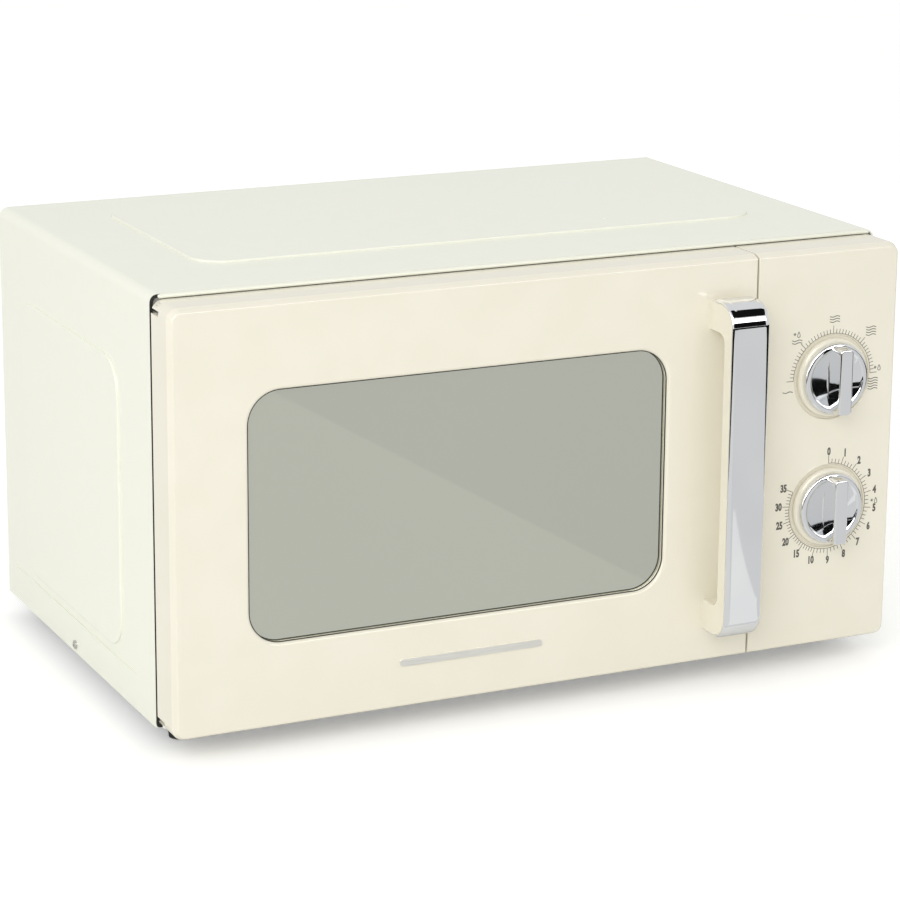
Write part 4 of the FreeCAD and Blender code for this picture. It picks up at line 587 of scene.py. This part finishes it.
@dataclass(frozen=True)
class Knob:
    """A bright, dished knob cap with an upright grip bar across it."""

    name: str
    rim: float = 21.0
    rim_ahead: float = 3.4
    lip: float = 1.6
    back_bevel: Pair = (0.4, 0.5)
    dish_radius: float = 17.2
    dish_depth: float = 3.0
    dish_step: Pair = (0.7, 0.6)
    bar_width: float = 8.8
    bar_length: float = 39.0
    bar_corner: float = 2.2
    bar_edge: float = 1.1
    bar_foot: float = 1.0
    bar_rise: float = 0.6
    bar_shoulder: float = 1.0
    bar_sunk: float = 0.2

    def cap(self, base: float, rim_level: float, dish_level: float) -> Shape:
        """The round cap.

        Inside the lip the dish is a shallow bowl: its depth below the rim is proportional to
        1 - (r / dish_radius)^2.

        Args:
            base: the level of its back face.
            rim_level: the level of its rim.
            dish_level: the level of the middle of its dish.

        Returns:
            The closed shape.
        """
        (bevel, bevel_rise), (step, step_fall) = self.back_bevel, self.dish_step
        outside = rounded_line([(0, base, 0), (self.rim - bevel, base, 0),
                                (self.rim, base - bevel_rise, 0),
                                (self.rim, rim_level, self.lip),
                                (self.dish_radius + step, rim_level, 0.5),
                                (self.dish_radius, rim_level + step_fall, 0)], 8)
        radius = np.linspace(self.dish_radius, 0, 26)[1:]
        bowl = 1 - (radius / self.dish_radius) ** 2
        start = rim_level + step_fall
        inside = np.stack([radius, start + (dish_level - start) * bowl], axis=1)
        return lathe(np.vstack([outside, inside]), 128)

    def bar(self, front: float, base: float) -> Shape:
        """The grip bar: a rounded rectangle carried forward from a flared foot.

        It is drawn in again at its front edge. The outline is four corner centres plus a circle
        of the corner radius less the inset, so each row is the same outline, a little smaller.

        Args:
            front: the level of its front face.
            base: the level where it starts, under the dish.

        Returns:
            The closed shape.
        """
        turn = np.radians(np.arange(0, 360, 7.5) + 3.75)
        way = clockwise(turn)
        centres = np.sign(way) * (np.array([self.bar_width, self.bar_length]) / 2
                                  - self.bar_corner)
        bend = np.radians(np.linspace(0, 90, 9))
        foot = self.bar_foot
        inset = np.concatenate([[-foot], foot * (np.sin(bend) - 1), [0],
                                self.bar_edge * (1 - np.cos(bend))])
        level = np.concatenate([[base], base - self.bar_rise - foot * (1 - np.cos(bend)),
                                [front + self.bar_edge + self.bar_shoulder],
                                front + self.bar_edge * (1 - np.sin(bend))])
        rings = centres[None] + way[None] * (self.bar_corner - inset)[:, None, None]
        grid = np.stack([rings[..., 0], np.broadcast_to(level[:, None], rings.shape[:2]),
                         rings[..., 1]], axis=-1)
        first, last = (np.broadcast_to([0.0, y, 0.0], (1, turn.size, 3)) for y in (base, front))
        return surface(np.concatenate([first, grid, last]))

    def build(self) -> None:
        """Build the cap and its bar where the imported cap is."""
        low, high = box_mm(f"{self.name}_cap")
        centre = (low + high) / 2
        skirt = box_mm(f"{self.name}_skirt")[0][1]
        rim_level = skirt - self.rim_ahead
        dish_level = rim_level + self.dish_depth
        shape = (self.cap(high[1], rim_level, dish_level)
                 + self.bar(low[1], dish_level + self.bar_sunk)).moved((centre[0], 0, centre[2]))
        place(f"{self.name}_bright_cap", shape, self.name, "chromed_plastic",
              instead_of=f"{self.name}_cap", crisp=50)


@dataclass(frozen=True)
class DialPrint:
    """The printed scale round one knob: an arc, its ticks, and what stands at the long ones."""

    knob: str
    inner: float = 26.0
    short: float = 2.6
    long: float = 4.6
    label_radius: float = 33.2
    line: float = 0.34
    ink: float = 0.05
    arc_share: float = 0.8
    wave_reach: float = 3.4
    wave_height: float = 0.32
    wave_gap: float = 1.55
    wave_line: float = 0.44
    drop_size: Pair = (1.25, 1.7)
    drop_right: float = 1.2
    drop_line: float = 0.36
    star_reach: float = 0.95
    star_place: Pair = (-1.5, 0.3)
    star_line: float = 0.3
    digit_height: float = 4.9
    digit_narrow: float = 0.7
    digit_weight: float = 0.05
    digit_depth: float = 0.01

    def centre(self) -> Point:
        """The middle of the scale, on the front face of the control panel."""
        low, high = box_mm(f"{self.knob}_skirt")
        return (low[0] + high[0]) / 2, box_mm("control_panel")[0][1], (low[2] + high[2]) / 2

    def line_shape(self, path: Array, width: float | None = None,
                   closed: bool = False) -> Shape:
        """One printed line along x and z points."""
        return strip(path, width or self.line, -self.ink, 2 * self.ink, closed)

    def ring_points(self, angles: Array, radius: float) -> Array:
        """Points on a circle: x is r sin a and z is r cos a, with a clockwise from the top."""
        return radius * clockwise(np.radians(angles))

    def scale(self, angles: Array, long_every: Array) -> list[Shape]:
        """The arc and its ticks.

        Args:
            angles: the angle of every tick, clockwise from the top.
            long_every: True for each tick that is a long one.

        Returns:
            One shape for the arc and one for each tick.
        """
        arc = self.line_shape(self.ring_points(
            np.linspace(angles[0], angles[-1], 120), self.inner), self.line * self.arc_share)
        reach = self.inner + np.where(long_every, self.long, self.short)
        ends = [self.line_shape(np.vstack([self.ring_points(np.array([a]), self.inner),
                                           self.ring_points(np.array([a]), r)]))
                for a, r in zip(angles, reach)]
        return [arc] + ends

    def waves(self, count: int, at: Pair) -> list[Shape]:
        """A stack of wavy lines, each z = h sin(2.5 pi x / length) along its length.

        Args:
            count: how many lines.
            at: the x and z of the stack's middle.

        Returns:
            One shape for each line.
        """
        x = np.linspace(-self.wave_reach, self.wave_reach, 25)
        wave = self.wave_height * np.sin(x / self.wave_reach * 1.25 * math.pi)
        return [self.line_shape(np.stack([x + at[0], wave + at[1] + level], axis=1),
                                self.wave_line)
                for level in (np.arange(count) - (count - 1) / 2) * self.wave_gap]

    def drop(self, at: Pair) -> list[Shape]:
        """A thawing mark: a drop beside a small star.

        The drop's outline is x = w sin(t) sin(t / 2)^1.5 and z = h cos(t) for t round a circle.

        Args:
            at: the x and z of the mark's middle.

        Returns:
            The drop's outline and the star's three bars.
        """
        t = np.linspace(0, 2 * math.pi, 25)[:-1]
        (wide, tall), (right, up) = self.drop_size, self.star_place
        outline = np.stack([wide * np.sin(t) * np.sin(t / 2) ** 1.5 + at[0] + self.drop_right,
                            tall * np.cos(t) + at[1]], axis=1)
        shapes = [self.line_shape(outline, self.drop_line, closed=True)]
        for degrees in (30, 90, 150):
            reach = self.ring_points(np.array([degrees, degrees + 180]), self.star_reach)
            shapes.append(self.line_shape(reach + np.array([at[0] + right, at[1] + up]),
                                          self.star_line))
        return shapes

    def number(self, text: str, at: Pair) -> Shape:
        """A printed number, upright and narrow.

        The letters are a flat outline with a little thickness, made a mesh, then measured and
        scaled to the height; x goes to x, up goes to z and their front faces the front.

        Args:
            text: the digits.
            at: the x and z of their middle.

        Returns:
            The closed shape.
        """
        curve = bpy.data.curves.new("digits", "FONT")
        curve.body, curve.extrude, curve.resolution_u = text, self.digit_depth, 3
        curve.offset = self.digit_weight
        holder = bpy.data.objects.new("digits", curve)
        mesh = bpy.data.meshes.new_from_object(holder)
        flat = np.empty(len(mesh.vertices) * 3)
        mesh.vertices.foreach_get("co", flat)
        flat = flat.reshape(-1, 3)
        middle = (flat.min(axis=0) + flat.max(axis=0)) / 2
        size = self.digit_height / (flat[:, 1].max() - flat[:, 1].min())
        flat = (flat - middle) * size
        points = np.stack([flat[:, 0] * self.digit_narrow + at[0],
                           -flat[:, 2] / (self.digit_depth * size) * self.ink,
                           flat[:, 1] + at[1]], axis=1)
        mesh.calc_loop_triangles()
        threes = np.empty(len(mesh.loop_triangles) * 3, dtype=np.int64)
        mesh.loop_triangles.foreach_get("vertices", threes)
        bpy.data.objects.remove(holder)
        bpy.data.curves.remove(curve)
        bpy.data.meshes.remove(mesh)
        return Shape(points, np.empty((0, 4), dtype=np.int64), threes.reshape(-1, 3))

    def print_power(self) -> None:
        """Print the power scale: half a turn, with one to five waves at its long ticks."""
        angles = np.linspace(-90, 90, 41)
        shapes = self.scale(angles, np.arange(41) % 10 == 0)
        for count, at in ((1, (-29.6, -6.4)), (2, (-24.4, 23.1)), (3, (0.6, 34.4)),
                          (4, (25.6, 25.2)), (5, (28.2, -6.6))):
            shapes += self.waves(count, at)
        shapes += self.drop((-24.6, 27.4)) + self.drop((31.0, 2.6))
        self.finish(shapes)

    def print_timer(self) -> None:
        """Print the minutes: one to ten singly, then every five up to thirty-five."""
        step = 295 / 15
        minutes = np.arange(0, 40) / 4 * step
        late = 10 * step + np.arange(0, 26) / 5 * step
        angles = np.concatenate([minutes, late])
        whole = np.concatenate([np.arange(40) % 4 == 0, np.arange(26) % 5 == 0])
        shapes = self.scale(angles, whole)
        labels = [str(n) for n in range(11)] + ["15", "20", "25", "30", "35"]
        spots = self.ring_points(np.arange(16) * step, self.label_radius)
        shapes += [self.number(text, (x, z)) for text, (x, z) in zip(labels, spots)]
        self.finish(shapes + self.drop((32.6, -0.4)))

    def finish(self, shapes: list[Shape]) -> None:
        """Put the printed marks on the control panel."""
        place(f"{self.knob}_dial_marks", together(shapes).moved(self.centre()), "cabinet",
              "black_plastic", finish=DIAL_INK)


@dataclass(frozen=True)
class PiercedScreen:
    """The black sheet behind the window, pierced all over with small round holes.

    Real holes are 2 mm apart; here they are drawn coarser, so that each one shows.
    """

    pitch: float = 3.4
    hole: float = 1.15
    margin: float = 7.0

    def build(self) -> None:
        """Build the sheet as cells, each a square ring round a hole.

        The squares share a lattice of corner and mid-side points; each hole is eight points on
        a circle. Front and back rings and the hole's wall join them, and a border frames all.
        """
        low, high = box_mm("window_screen")
        wide, tall = high[0] - low[0], high[2] - low[2]
        across, up = (int((side - 2 * self.margin) / self.pitch) for side in (wide, tall))
        x = np.linspace(low[0] + self.margin, high[0] - self.margin, 2 * across + 1)
        z = np.linspace(low[2] + self.margin, high[2] - self.margin, 2 * up + 1)
        x, z = (np.concatenate([[a], line, [b]])
                for a, line, b in ((low[0], x, high[0]), (low[2], z, high[2])))
        lattice = np.stack(np.meshgrid(x, z, indexing="ij"), axis=-1)
        rows, columns = lattice.shape[:2]
        i, j = np.meshgrid(2 * np.arange(across) + 2, 2 * np.arange(up) + 2, indexing="ij")
        i, j = i.ravel(), j.ravel()
        step = np.array([(-1, -1), (0, -1), (1, -1), (1, 0), (1, 1), (0, 1), (-1, 1), (-1, 0)])
        outer = (i[:, None] + step[:, 0]) * columns + j[:, None] + step[:, 1]
        way = step / np.linalg.norm(step, axis=1, keepdims=True)
        holes = (lattice[i, j][:, None] + self.hole * way).reshape(-1, 2)
        flat = np.vstack([lattice.reshape(-1, 2), holes])
        inner = rows * columns + np.arange(len(holes)).reshape(-1, 8)
        beside = np.roll(inner, -1, 1)
        ring = quads(outer, np.roll(outer, -1, 1), beside, inner)
        count = len(flat)
        wall = quads(inner, beside, beside + count, inner + count)
        number = np.arange(rows * columns).reshape(rows, columns)
        border = np.ones((rows - 1, columns - 1), dtype=bool)
        border[1:-1, 1:-1] = False
        frame_cells = quads(*(part[border] for part in (
            number[:-1, :-1], number[1:, :-1], number[1:, 1:], number[:-1, 1:])))
        rim = np.concatenate([number[:-1, 0], number[-1, :-1], number[:0:-1, -1],
                              number[0, :0:-1]])
        edge = quads(np.roll(rim, -1), rim, rim + count, np.roll(rim, -1) + count)
        front = np.vstack([ring, frame_cells])
        fours = np.vstack([front, front[:, ::-1] + count, wall, edge])
        points = np.vstack([np.insert(flat, 1, level, axis=1) for level in (low[1], high[1])])
        shape = Shape(points, fours, np.empty((0, 3), dtype=np.int64)).outward()
        place("pierced_window_screen", shape, "door", "black_screen",
              instead_of="window_screen")


@dataclass(frozen=True)
class CaseScrews:
    """The cross-recess screws that hold the wrap at its sides and back."""

    radius: float = 2.6
    height: float = 1.8
    recess: float = 0.9
    slot_width: float = 0.75
    slot_length: float = 3.0
    slot_slope: float = 0.15
    dome: float = 0.45
    back_inset: float = 40.0
    back_x: float = 218.5

    def head(self) -> Shape:
        """A domed head with a cross sunk in it, seen from along -Y.

        Over the face, the level is a dome, height * (1 - dome (r / radius)^2), less the recess
        where the point lies inside either bar of the cross, which has sloping sides.

        Returns:
            The closed shape, with its seat at the level zero.
        """
        angle = full_turn(72)
        r = np.linspace(0, self.radius, 27)[:, None]
        x, z = r * np.sin(angle), r * np.cos(angle)

        def inside(a: Array, b: Array) -> Array:
            """How far a point is inside a bar that lies along a."""
            side = np.clip((self.slot_width / 2 - np.abs(b)) / self.slot_slope + 0.5, 0, 1)
            end = np.clip((self.slot_length / 2 - np.abs(a)) / self.slot_slope + 0.5, 0, 1)
            return side * end
        sunk = np.maximum(inside(x, z), inside(z, x)) * self.recess
        level = -self.height * (1 - self.dome * (r / self.radius) ** 2) + sunk
        face = np.stack([x, level + 0 * x, z], axis=-1)
        seat = np.stack([x[-1], 0 * angle, z[-1]], axis=-1)[None]
        middle = np.zeros((1, angle.size, 3))
        return surface(np.concatenate([face, seat, middle]))

    def build(self) -> None:
        """Put a head at each place: one low on either side, four at the back."""
        low, high = box_mm("case_screws")
        case_low, case_high = box_mm("outer_case")
        head = self.head()
        side_y, side_z = low[1] + self.radius, low[2] + self.radius
        turned = [(head.points[:, [1, 0, 2]] * np.array([-sense, 1, 1]),
                   (sense * (high[0] - self.height), side_y, side_z)) for sense in (-1, 1)]
        turned += [(head.points * np.array([1, -1, 1]), (x, high[1] - self.height, z))
                   for x in (-self.back_x, self.back_x)
                   for z in (case_low[2] + self.back_inset, case_high[2] - self.back_inset)]
        shapes = [Shape(points, head.fours, head.threes).outward().moved(spot)
                  for points, spot in turned]
        place("case_cross_screws", together(shapes), "cabinet", "screw_steel",
              instead_of="case_screws")


@dataclass(frozen=True)
class LatchSpring:
    """The coil spring over the latch; its foot goes with the latch and its top with the door."""

    wire: float = 0.7
    end_turns: float = 1.0
    turns: float = 5.5

    def coil(self, low: Array, high: Array) -> Shape:
        """Wind the wire between two corners.

        The centre line turns at a constant radius and climbs by one wire's width a turn over
        the end turns, and evenly over the turns between. Round each of its points lies a ring
        of the wire's radius, in the plane of the outward way and of the way square to both the
        outward way and the line. The rings close to a point at both ends.

        Args:
            low: the lowest corner of the spring.
            high: its highest corner.

        Returns:
            The closed shape of the wire.
        """
        thick = self.wire / 2
        radius = (high[0] - low[0]) / 2 - thick
        step = np.linspace(0, self.turns, int(self.turns * 40) + 1)
        climb = self.wire * self.end_turns
        tall = high[2] - low[2] - self.wire
        level = np.interp(step, [0, self.end_turns, self.turns - self.end_turns, self.turns],
                          [0, climb, tall - climb, tall])
        angle = step * 2 * math.pi
        out = np.stack([np.cos(angle), np.sin(angle), 0 * angle], axis=1)
        centre = out * radius + np.stack([0 * level, 0 * level, level], axis=1)
        centre += [(low[0] + high[0]) / 2, (low[1] + high[1]) / 2, low[2] + thick]
        line = np.gradient(centre, axis=0)
        square = np.cross(out, line / np.linalg.norm(line, axis=1)[:, None])
        rows = np.concatenate([[0], np.arange(step.size), [step.size - 1]])
        size = np.where((np.arange(rows.size) % (rows.size - 1)) == 0, 0.0, thick)
        turn = full_turn(12)[None, :, None]
        ring = np.cos(turn) * out[rows][:, None] + np.sin(turn) * square[rows][:, None]
        return surface(centre[rows][:, None] + size[:, None, None] * ring)

    def build(self) -> None:
        """Wind the spring where the imported one was, on no single body."""
        low, high = box_mm("latch_spring")
        piece = place("latch_coil", self.coil(low, high), None, "spring_steel",
                      instead_of="latch_spring")
        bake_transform(piece)


@dataclass(frozen=True)
class EdgeTrims:
    """The dark seal round the window glass, a black strip of painted shade for the dark gap on the
    front edge of the wrap, and the wrap's rolled lip over the door and the control panel."""

    glass_corner: float = 19.0
    glass_hidden: float = 8.0
    seal_width: float = 0.35
    seal_height: float = 0.7
    seal_ahead: float = 2.2
    # width, height and end gaps of the black strip of painted shade in the gap round the door
    tape_width: float = 1.8
    tape_height: float = 0.5
    tape_ends: Pair = (5.0, 8.0)
    lip: Pair = (1.4, 1.2)
    lip_ends: float = 5.5
    inset: float = 0.1

    def outline(self, x: Pair, z: Pair, radius: float) -> Array:
        """A rectangle with round corners: each corner's centre plus the radius round a quarter.

        Args:
            x: its limits in x.
            z: its limits in z.
            radius: of its corners.

        Returns:
            The x and z of each point, counter-clockwise.
        """
        turn = np.radians(np.arange(0, 360, 7.5) + 3.75)
        way = np.stack([np.cos(turn), np.sin(turn)], axis=1)
        centre = np.array([sum(x) / 2, sum(z) / 2])
        reach = np.array([x[1] - x[0], z[1] - z[0]]) / 2 - radius
        return centre + np.sign(way) * reach + way * radius

    def seal(self) -> None:
        """Lay the seal a little ahead of the glass, on the wall of the door's opening."""
        low, high = box_mm("door_window")
        inset = self.glass_hidden + self.seal_width / 2
        path = self.outline((low[0] + inset, high[0] - inset), (low[2] + inset, high[2] - inset),
                            self.glass_corner - self.seal_width / 2)
        shape = strip(path, self.seal_width, low[1] - self.seal_ahead, self.seal_height, True)
        place("window_seal", shape, "door", "black_plastic", finish=FINISHES["foot_plastic"])

    def tape(self) -> None:
        """Lay a black strip of painted shade for the dark gap on the wrap's front edge: round the
        left corner, down, along and up.
        """
        low, _ = box_mm("outer_case")
        inset = self.tape_width / 2 + self.inset
        x, bottom, top = half_width() - inset, low[2] + inset, case_top() - inset
        path = rounded_line([(self.tape_ends[0] - x, top, 0), (-x, top, 4.0), (-x, bottom, 1.5),
                             (x, bottom, 1.5), (x, top - self.tape_ends[1], 0)])
        shape = strip(path, self.tape_width, low[1] - self.tape_height, self.tape_height)
        # the black rubber finish paints the shade of the deep gap between the wrap and the door; the
        # real gap is dark from shade, not from a strip
        place("gap_painted_shade", shape, "cabinet", "black_plastic", finish=FINISHES["foot_plastic"])

    def front_lip(self) -> None:
        """Roll the wrap's front lip: an ellipse carried along the top edge, with round ends."""
        low, _ = box_mm("outer_case")
        (deep, tall), reach = self.lip, half_width() - self.lip_ends
        turn = full_turn(24)
        bend = np.linspace(0, math.pi / 2, 7)
        x = np.concatenate([-reach - tall * np.cos(bend), reach + tall * np.sin(bend)])
        size = np.concatenate([np.sin(bend), np.cos(bend)])[:, None]
        grid = np.stack([np.broadcast_to(x[:, None], (x.size, turn.size)),
                         low[1] - deep + self.inset + deep * size * np.cos(turn),
                         case_top() - tall + tall * size * np.sin(turn)], axis=-1)
        place("wrap_front_lip", surface(grid), "cabinet", "case_enamel")

    def build(self) -> None:
        """Build all three."""
        self.seal()
        self.tape()
        self.front_lip()


# ---- the studio

def stand_sheet(name: str, corners: list | tuple, material: bpy.types.Material,
                unseen: tuple[str, ...] = ()) -> None:
    """Stand a flat sheet in the studio.

    Args:
        name: the sheet's name.
        corners: its corners in metres, in order.
        material: what it is made of.
        unseen: the kinds of ray that pass it by.
    """
    mesh = bpy.data.meshes.new(name)
    mesh.from_pydata(corners, [], [tuple(range(len(corners)))])
    mesh.materials.append(material)
    sheet = add_object(name, mesh)
    for ray in unseen:
        setattr(sheet, f"visible_{ray}", False)


def flat(level: float, *corners: Pair) -> tuple:
    """The corners of a sheet that lies level."""
    return tuple((x, y, level) for x, y in corners)


@dataclass(frozen=True)
class Card:
    """A studio card that only shows in glossy surfaces, such as a softbox or a black flag."""

    name: str
    corners: tuple[Point, ...]
    shade: str
    strength: float = 1.0

    def build(self) -> None:
        """Hang the card; it neither blocks light nor shows to the camera."""
        made = blank_material(self.name)
        tree = made.node_tree
        glow = add_node(tree, "ShaderNodeEmission", {
            "Color": linear(self.shade), "Strength": self.strength})
        add_node(tree, "ShaderNodeOutputMaterial", links={"Surface": glow.outputs["Emission"]})
        stand_sheet(self.name, self.corners, made,
                    ("camera", "diffuse", "shadow", "transmission"))


@dataclass(frozen=True)
class Studio:
    """A plain pale floor, soft light all round, one large soft key light and a camera."""

    floor_size: float = 14.0
    floor_shade: str = "F4F4F2"
    sky: float = 0.80
    lift_strength: float = 0.27
    lift_level: float = 0.0005
    key_watts: float = 34.0
    key_size: float = 1.8
    key_place: Point = (-1.9, -2.1, 1.7)
    key_aim: Point = (0.0, 0.0, 0.12)
    azimuth: float = 24.71
    elevation: float = 13.99
    roll: float = 0.25
    eye: Point = (-0.7589, -1.5948, 0.6064)
    focal: float = 3050.6
    principal: Pair = (409.5, 374.5)
    frame_width: float = 900.0

    def floor(self) -> None:
        """Lay the floor."""
        # paper on a roll: white, matt, with a barely visible cloudiness
        paper = Finish("paper_roll_white", self.floor_shade, "F2F2F0", (0.85, 0.95), 300.0)
        stand_sheet("studio_floor", flat(0.0, *self.square()), paper.material())

    def square(self) -> list[Pair]:
        """The floor's corners."""
        half = self.floor_size / 2
        return [(-half, -half), (half, -half), (half, half), (-half, half)]

    def lift(self) -> None:
        """Lay a clear sheet that glows a little on the floor, so that it looks white.

        Only the camera sees it, so it adds no light to the oven.
        """
        made = blank_material("floor_lift")
        tree = made.node_tree
        clear = add_node(tree, "ShaderNodeBsdfTransparent")
        glow = add_node(tree, "ShaderNodeEmission", {"Strength": self.lift_strength})
        both = add_node(tree, "ShaderNodeAddShader")
        tree.links.new(clear.outputs["BSDF"], both.inputs[0])
        tree.links.new(glow.outputs["Emission"], both.inputs[1])
        add_node(tree, "ShaderNodeOutputMaterial", links={"Surface": both.outputs["Shader"]})
        stand_sheet("floor_lift", flat(self.lift_level, *self.square()), made,
                    ("diffuse", "glossy", "shadow", "transmission"))

    def light(self) -> None:
        """Light the room: an even white surround, and a softbox up at the front left."""
        world = bpy.data.worlds.new("studio")
        bpy.context.scene.world = world
        world.use_nodes = True
        ground = world.node_tree.nodes["Background"]
        ground.inputs["Color"].default_value = (1.0, 1.0, 1.0, 1.0)
        ground.inputs["Strength"].default_value = self.sky
        lamp = bpy.data.lights.new("key_softbox", "AREA")
        lamp.shape, lamp.size, lamp.energy = "SQUARE", self.key_size, self.key_watts
        holder = add_object("key_softbox", lamp)
        holder.location = self.key_place
        aim = Vector(self.key_aim) - holder.location
        holder.rotation_euler = aim.to_track_quat("-Z", "Y").to_euler()

    def cards(self) -> None:
        """Hang the cards that the bright parts and the glass mirror."""
        def upright(y: float, x: Pair, z: Pair) -> tuple:
            """The corners of a card that stands in front of the oven."""
            return ((x[0], y, z[0]), (x[1], y, z[0]), (x[1], y, z[1]), (x[0], y, z[1]))
        for card in (
                Card("flag_low", flat(0.002, (-1.3, -0.2), (1.9, -0.2), (1.9, -2.7),
                                      (-1.3, -2.7)), "0E0E0E"),
                Card("panel_grey", flat(0.004, (-0.34, -0.19), (0.52, -0.19), (0.74, -0.62),
                                        (0.93, -1.32), (-0.12, -1.32)), "DEDEDD"),
                Card("panel_pale", flat(0.006, (0.119, -0.95), (0.165, -0.2), (-0.34, -0.2),
                                        (-0.2, -1.1)), "E6E6E4"),
                Card("flag_far", upright(-3.4, (-2.2, 2.6), (0.0, 1.25)), "101010"),
                Card("softbox_front", upright(-3.3, (-2.6, 3.0), (1.3, 2.6)), "FFFDF8", 6.0),
                Card("panel_white", flat(0.008, (0.121, -0.2), (0.19, -0.2), (0.21, -0.3),
                                         (0.23, -0.355), (0.276, -0.48), (0.269, -0.48),
                                         (0.224, -0.4), (0.168, -0.3)), "F4F4F2"),
                Card("flag_over", flat(2.3, (-0.6, -2.4), (2.4, -2.4), (2.4, -0.5),
                                       (-0.6, -0.5)), "141414"),
                Card("softbox_left", ((-2.6, -1.7, 0.3), (-2.6, 0.5, 0.3), (-2.6, 0.5, 2.0),
                                      (-2.6, -1.7, 2.0)), "FFFEFA", 3.0)):
            card.build()

    def camera(self) -> None:
        """Stand the camera at the front left, a little above the oven.

        The view runs along (sin a cos e, cos a cos e, -sin e), turned about itself by the roll.
        """
        a, e = math.radians(self.azimuth), math.radians(self.elevation)
        ahead = Vector((math.sin(a) * math.cos(e), math.cos(a) * math.cos(e), -math.sin(e)))
        level = Vector((math.cos(a), -math.sin(a), 0))
        right = Matrix.Rotation(-math.radians(self.roll), 3, ahead) @ level
        up = right.cross(ahead)
        lens = bpy.data.cameras.new("studio_camera")
        lens.lens = self.focal / self.frame_width * lens.sensor_width
        middle = self.frame_width / 2
        lens.shift_x = (middle - self.principal[0]) / self.frame_width
        lens.shift_y = (self.principal[1] - middle) / self.frame_width
        lens.clip_end = 50
        camera = add_object("studio_camera", lens)
        turn = Matrix((right, up, -ahead)).transposed()
        camera.matrix_world = Matrix.Translation(self.eye) @ turn.to_4x4()
        bpy.context.scene.camera = camera

    def build(self) -> None:
        """Set the whole studio up."""
        bpy.context.scene.view_settings.view_transform = "Standard"
        self.floor()
        self.lift()
        self.light()
        self.cards()
        self.camera()


def main() -> None:
    """Build everything in order and report each piece."""
    logging.basicConfig(level=logging.INFO, format="%(name)s: %(message)s")
    PackedPieces().dress()
    HandleStrip().build()
    for knob in ("power_knob", "timer_knob"):
        Knob(knob).build()
    DialPrint("power_knob").print_power()
    DialPrint("timer_knob").print_timer()
    PiercedScreen().build()
    CaseScrews().build()
    LatchSpring().build()
    EdgeTrims().build()
    Studio().build()


if __name__ == "__main__":
    main()
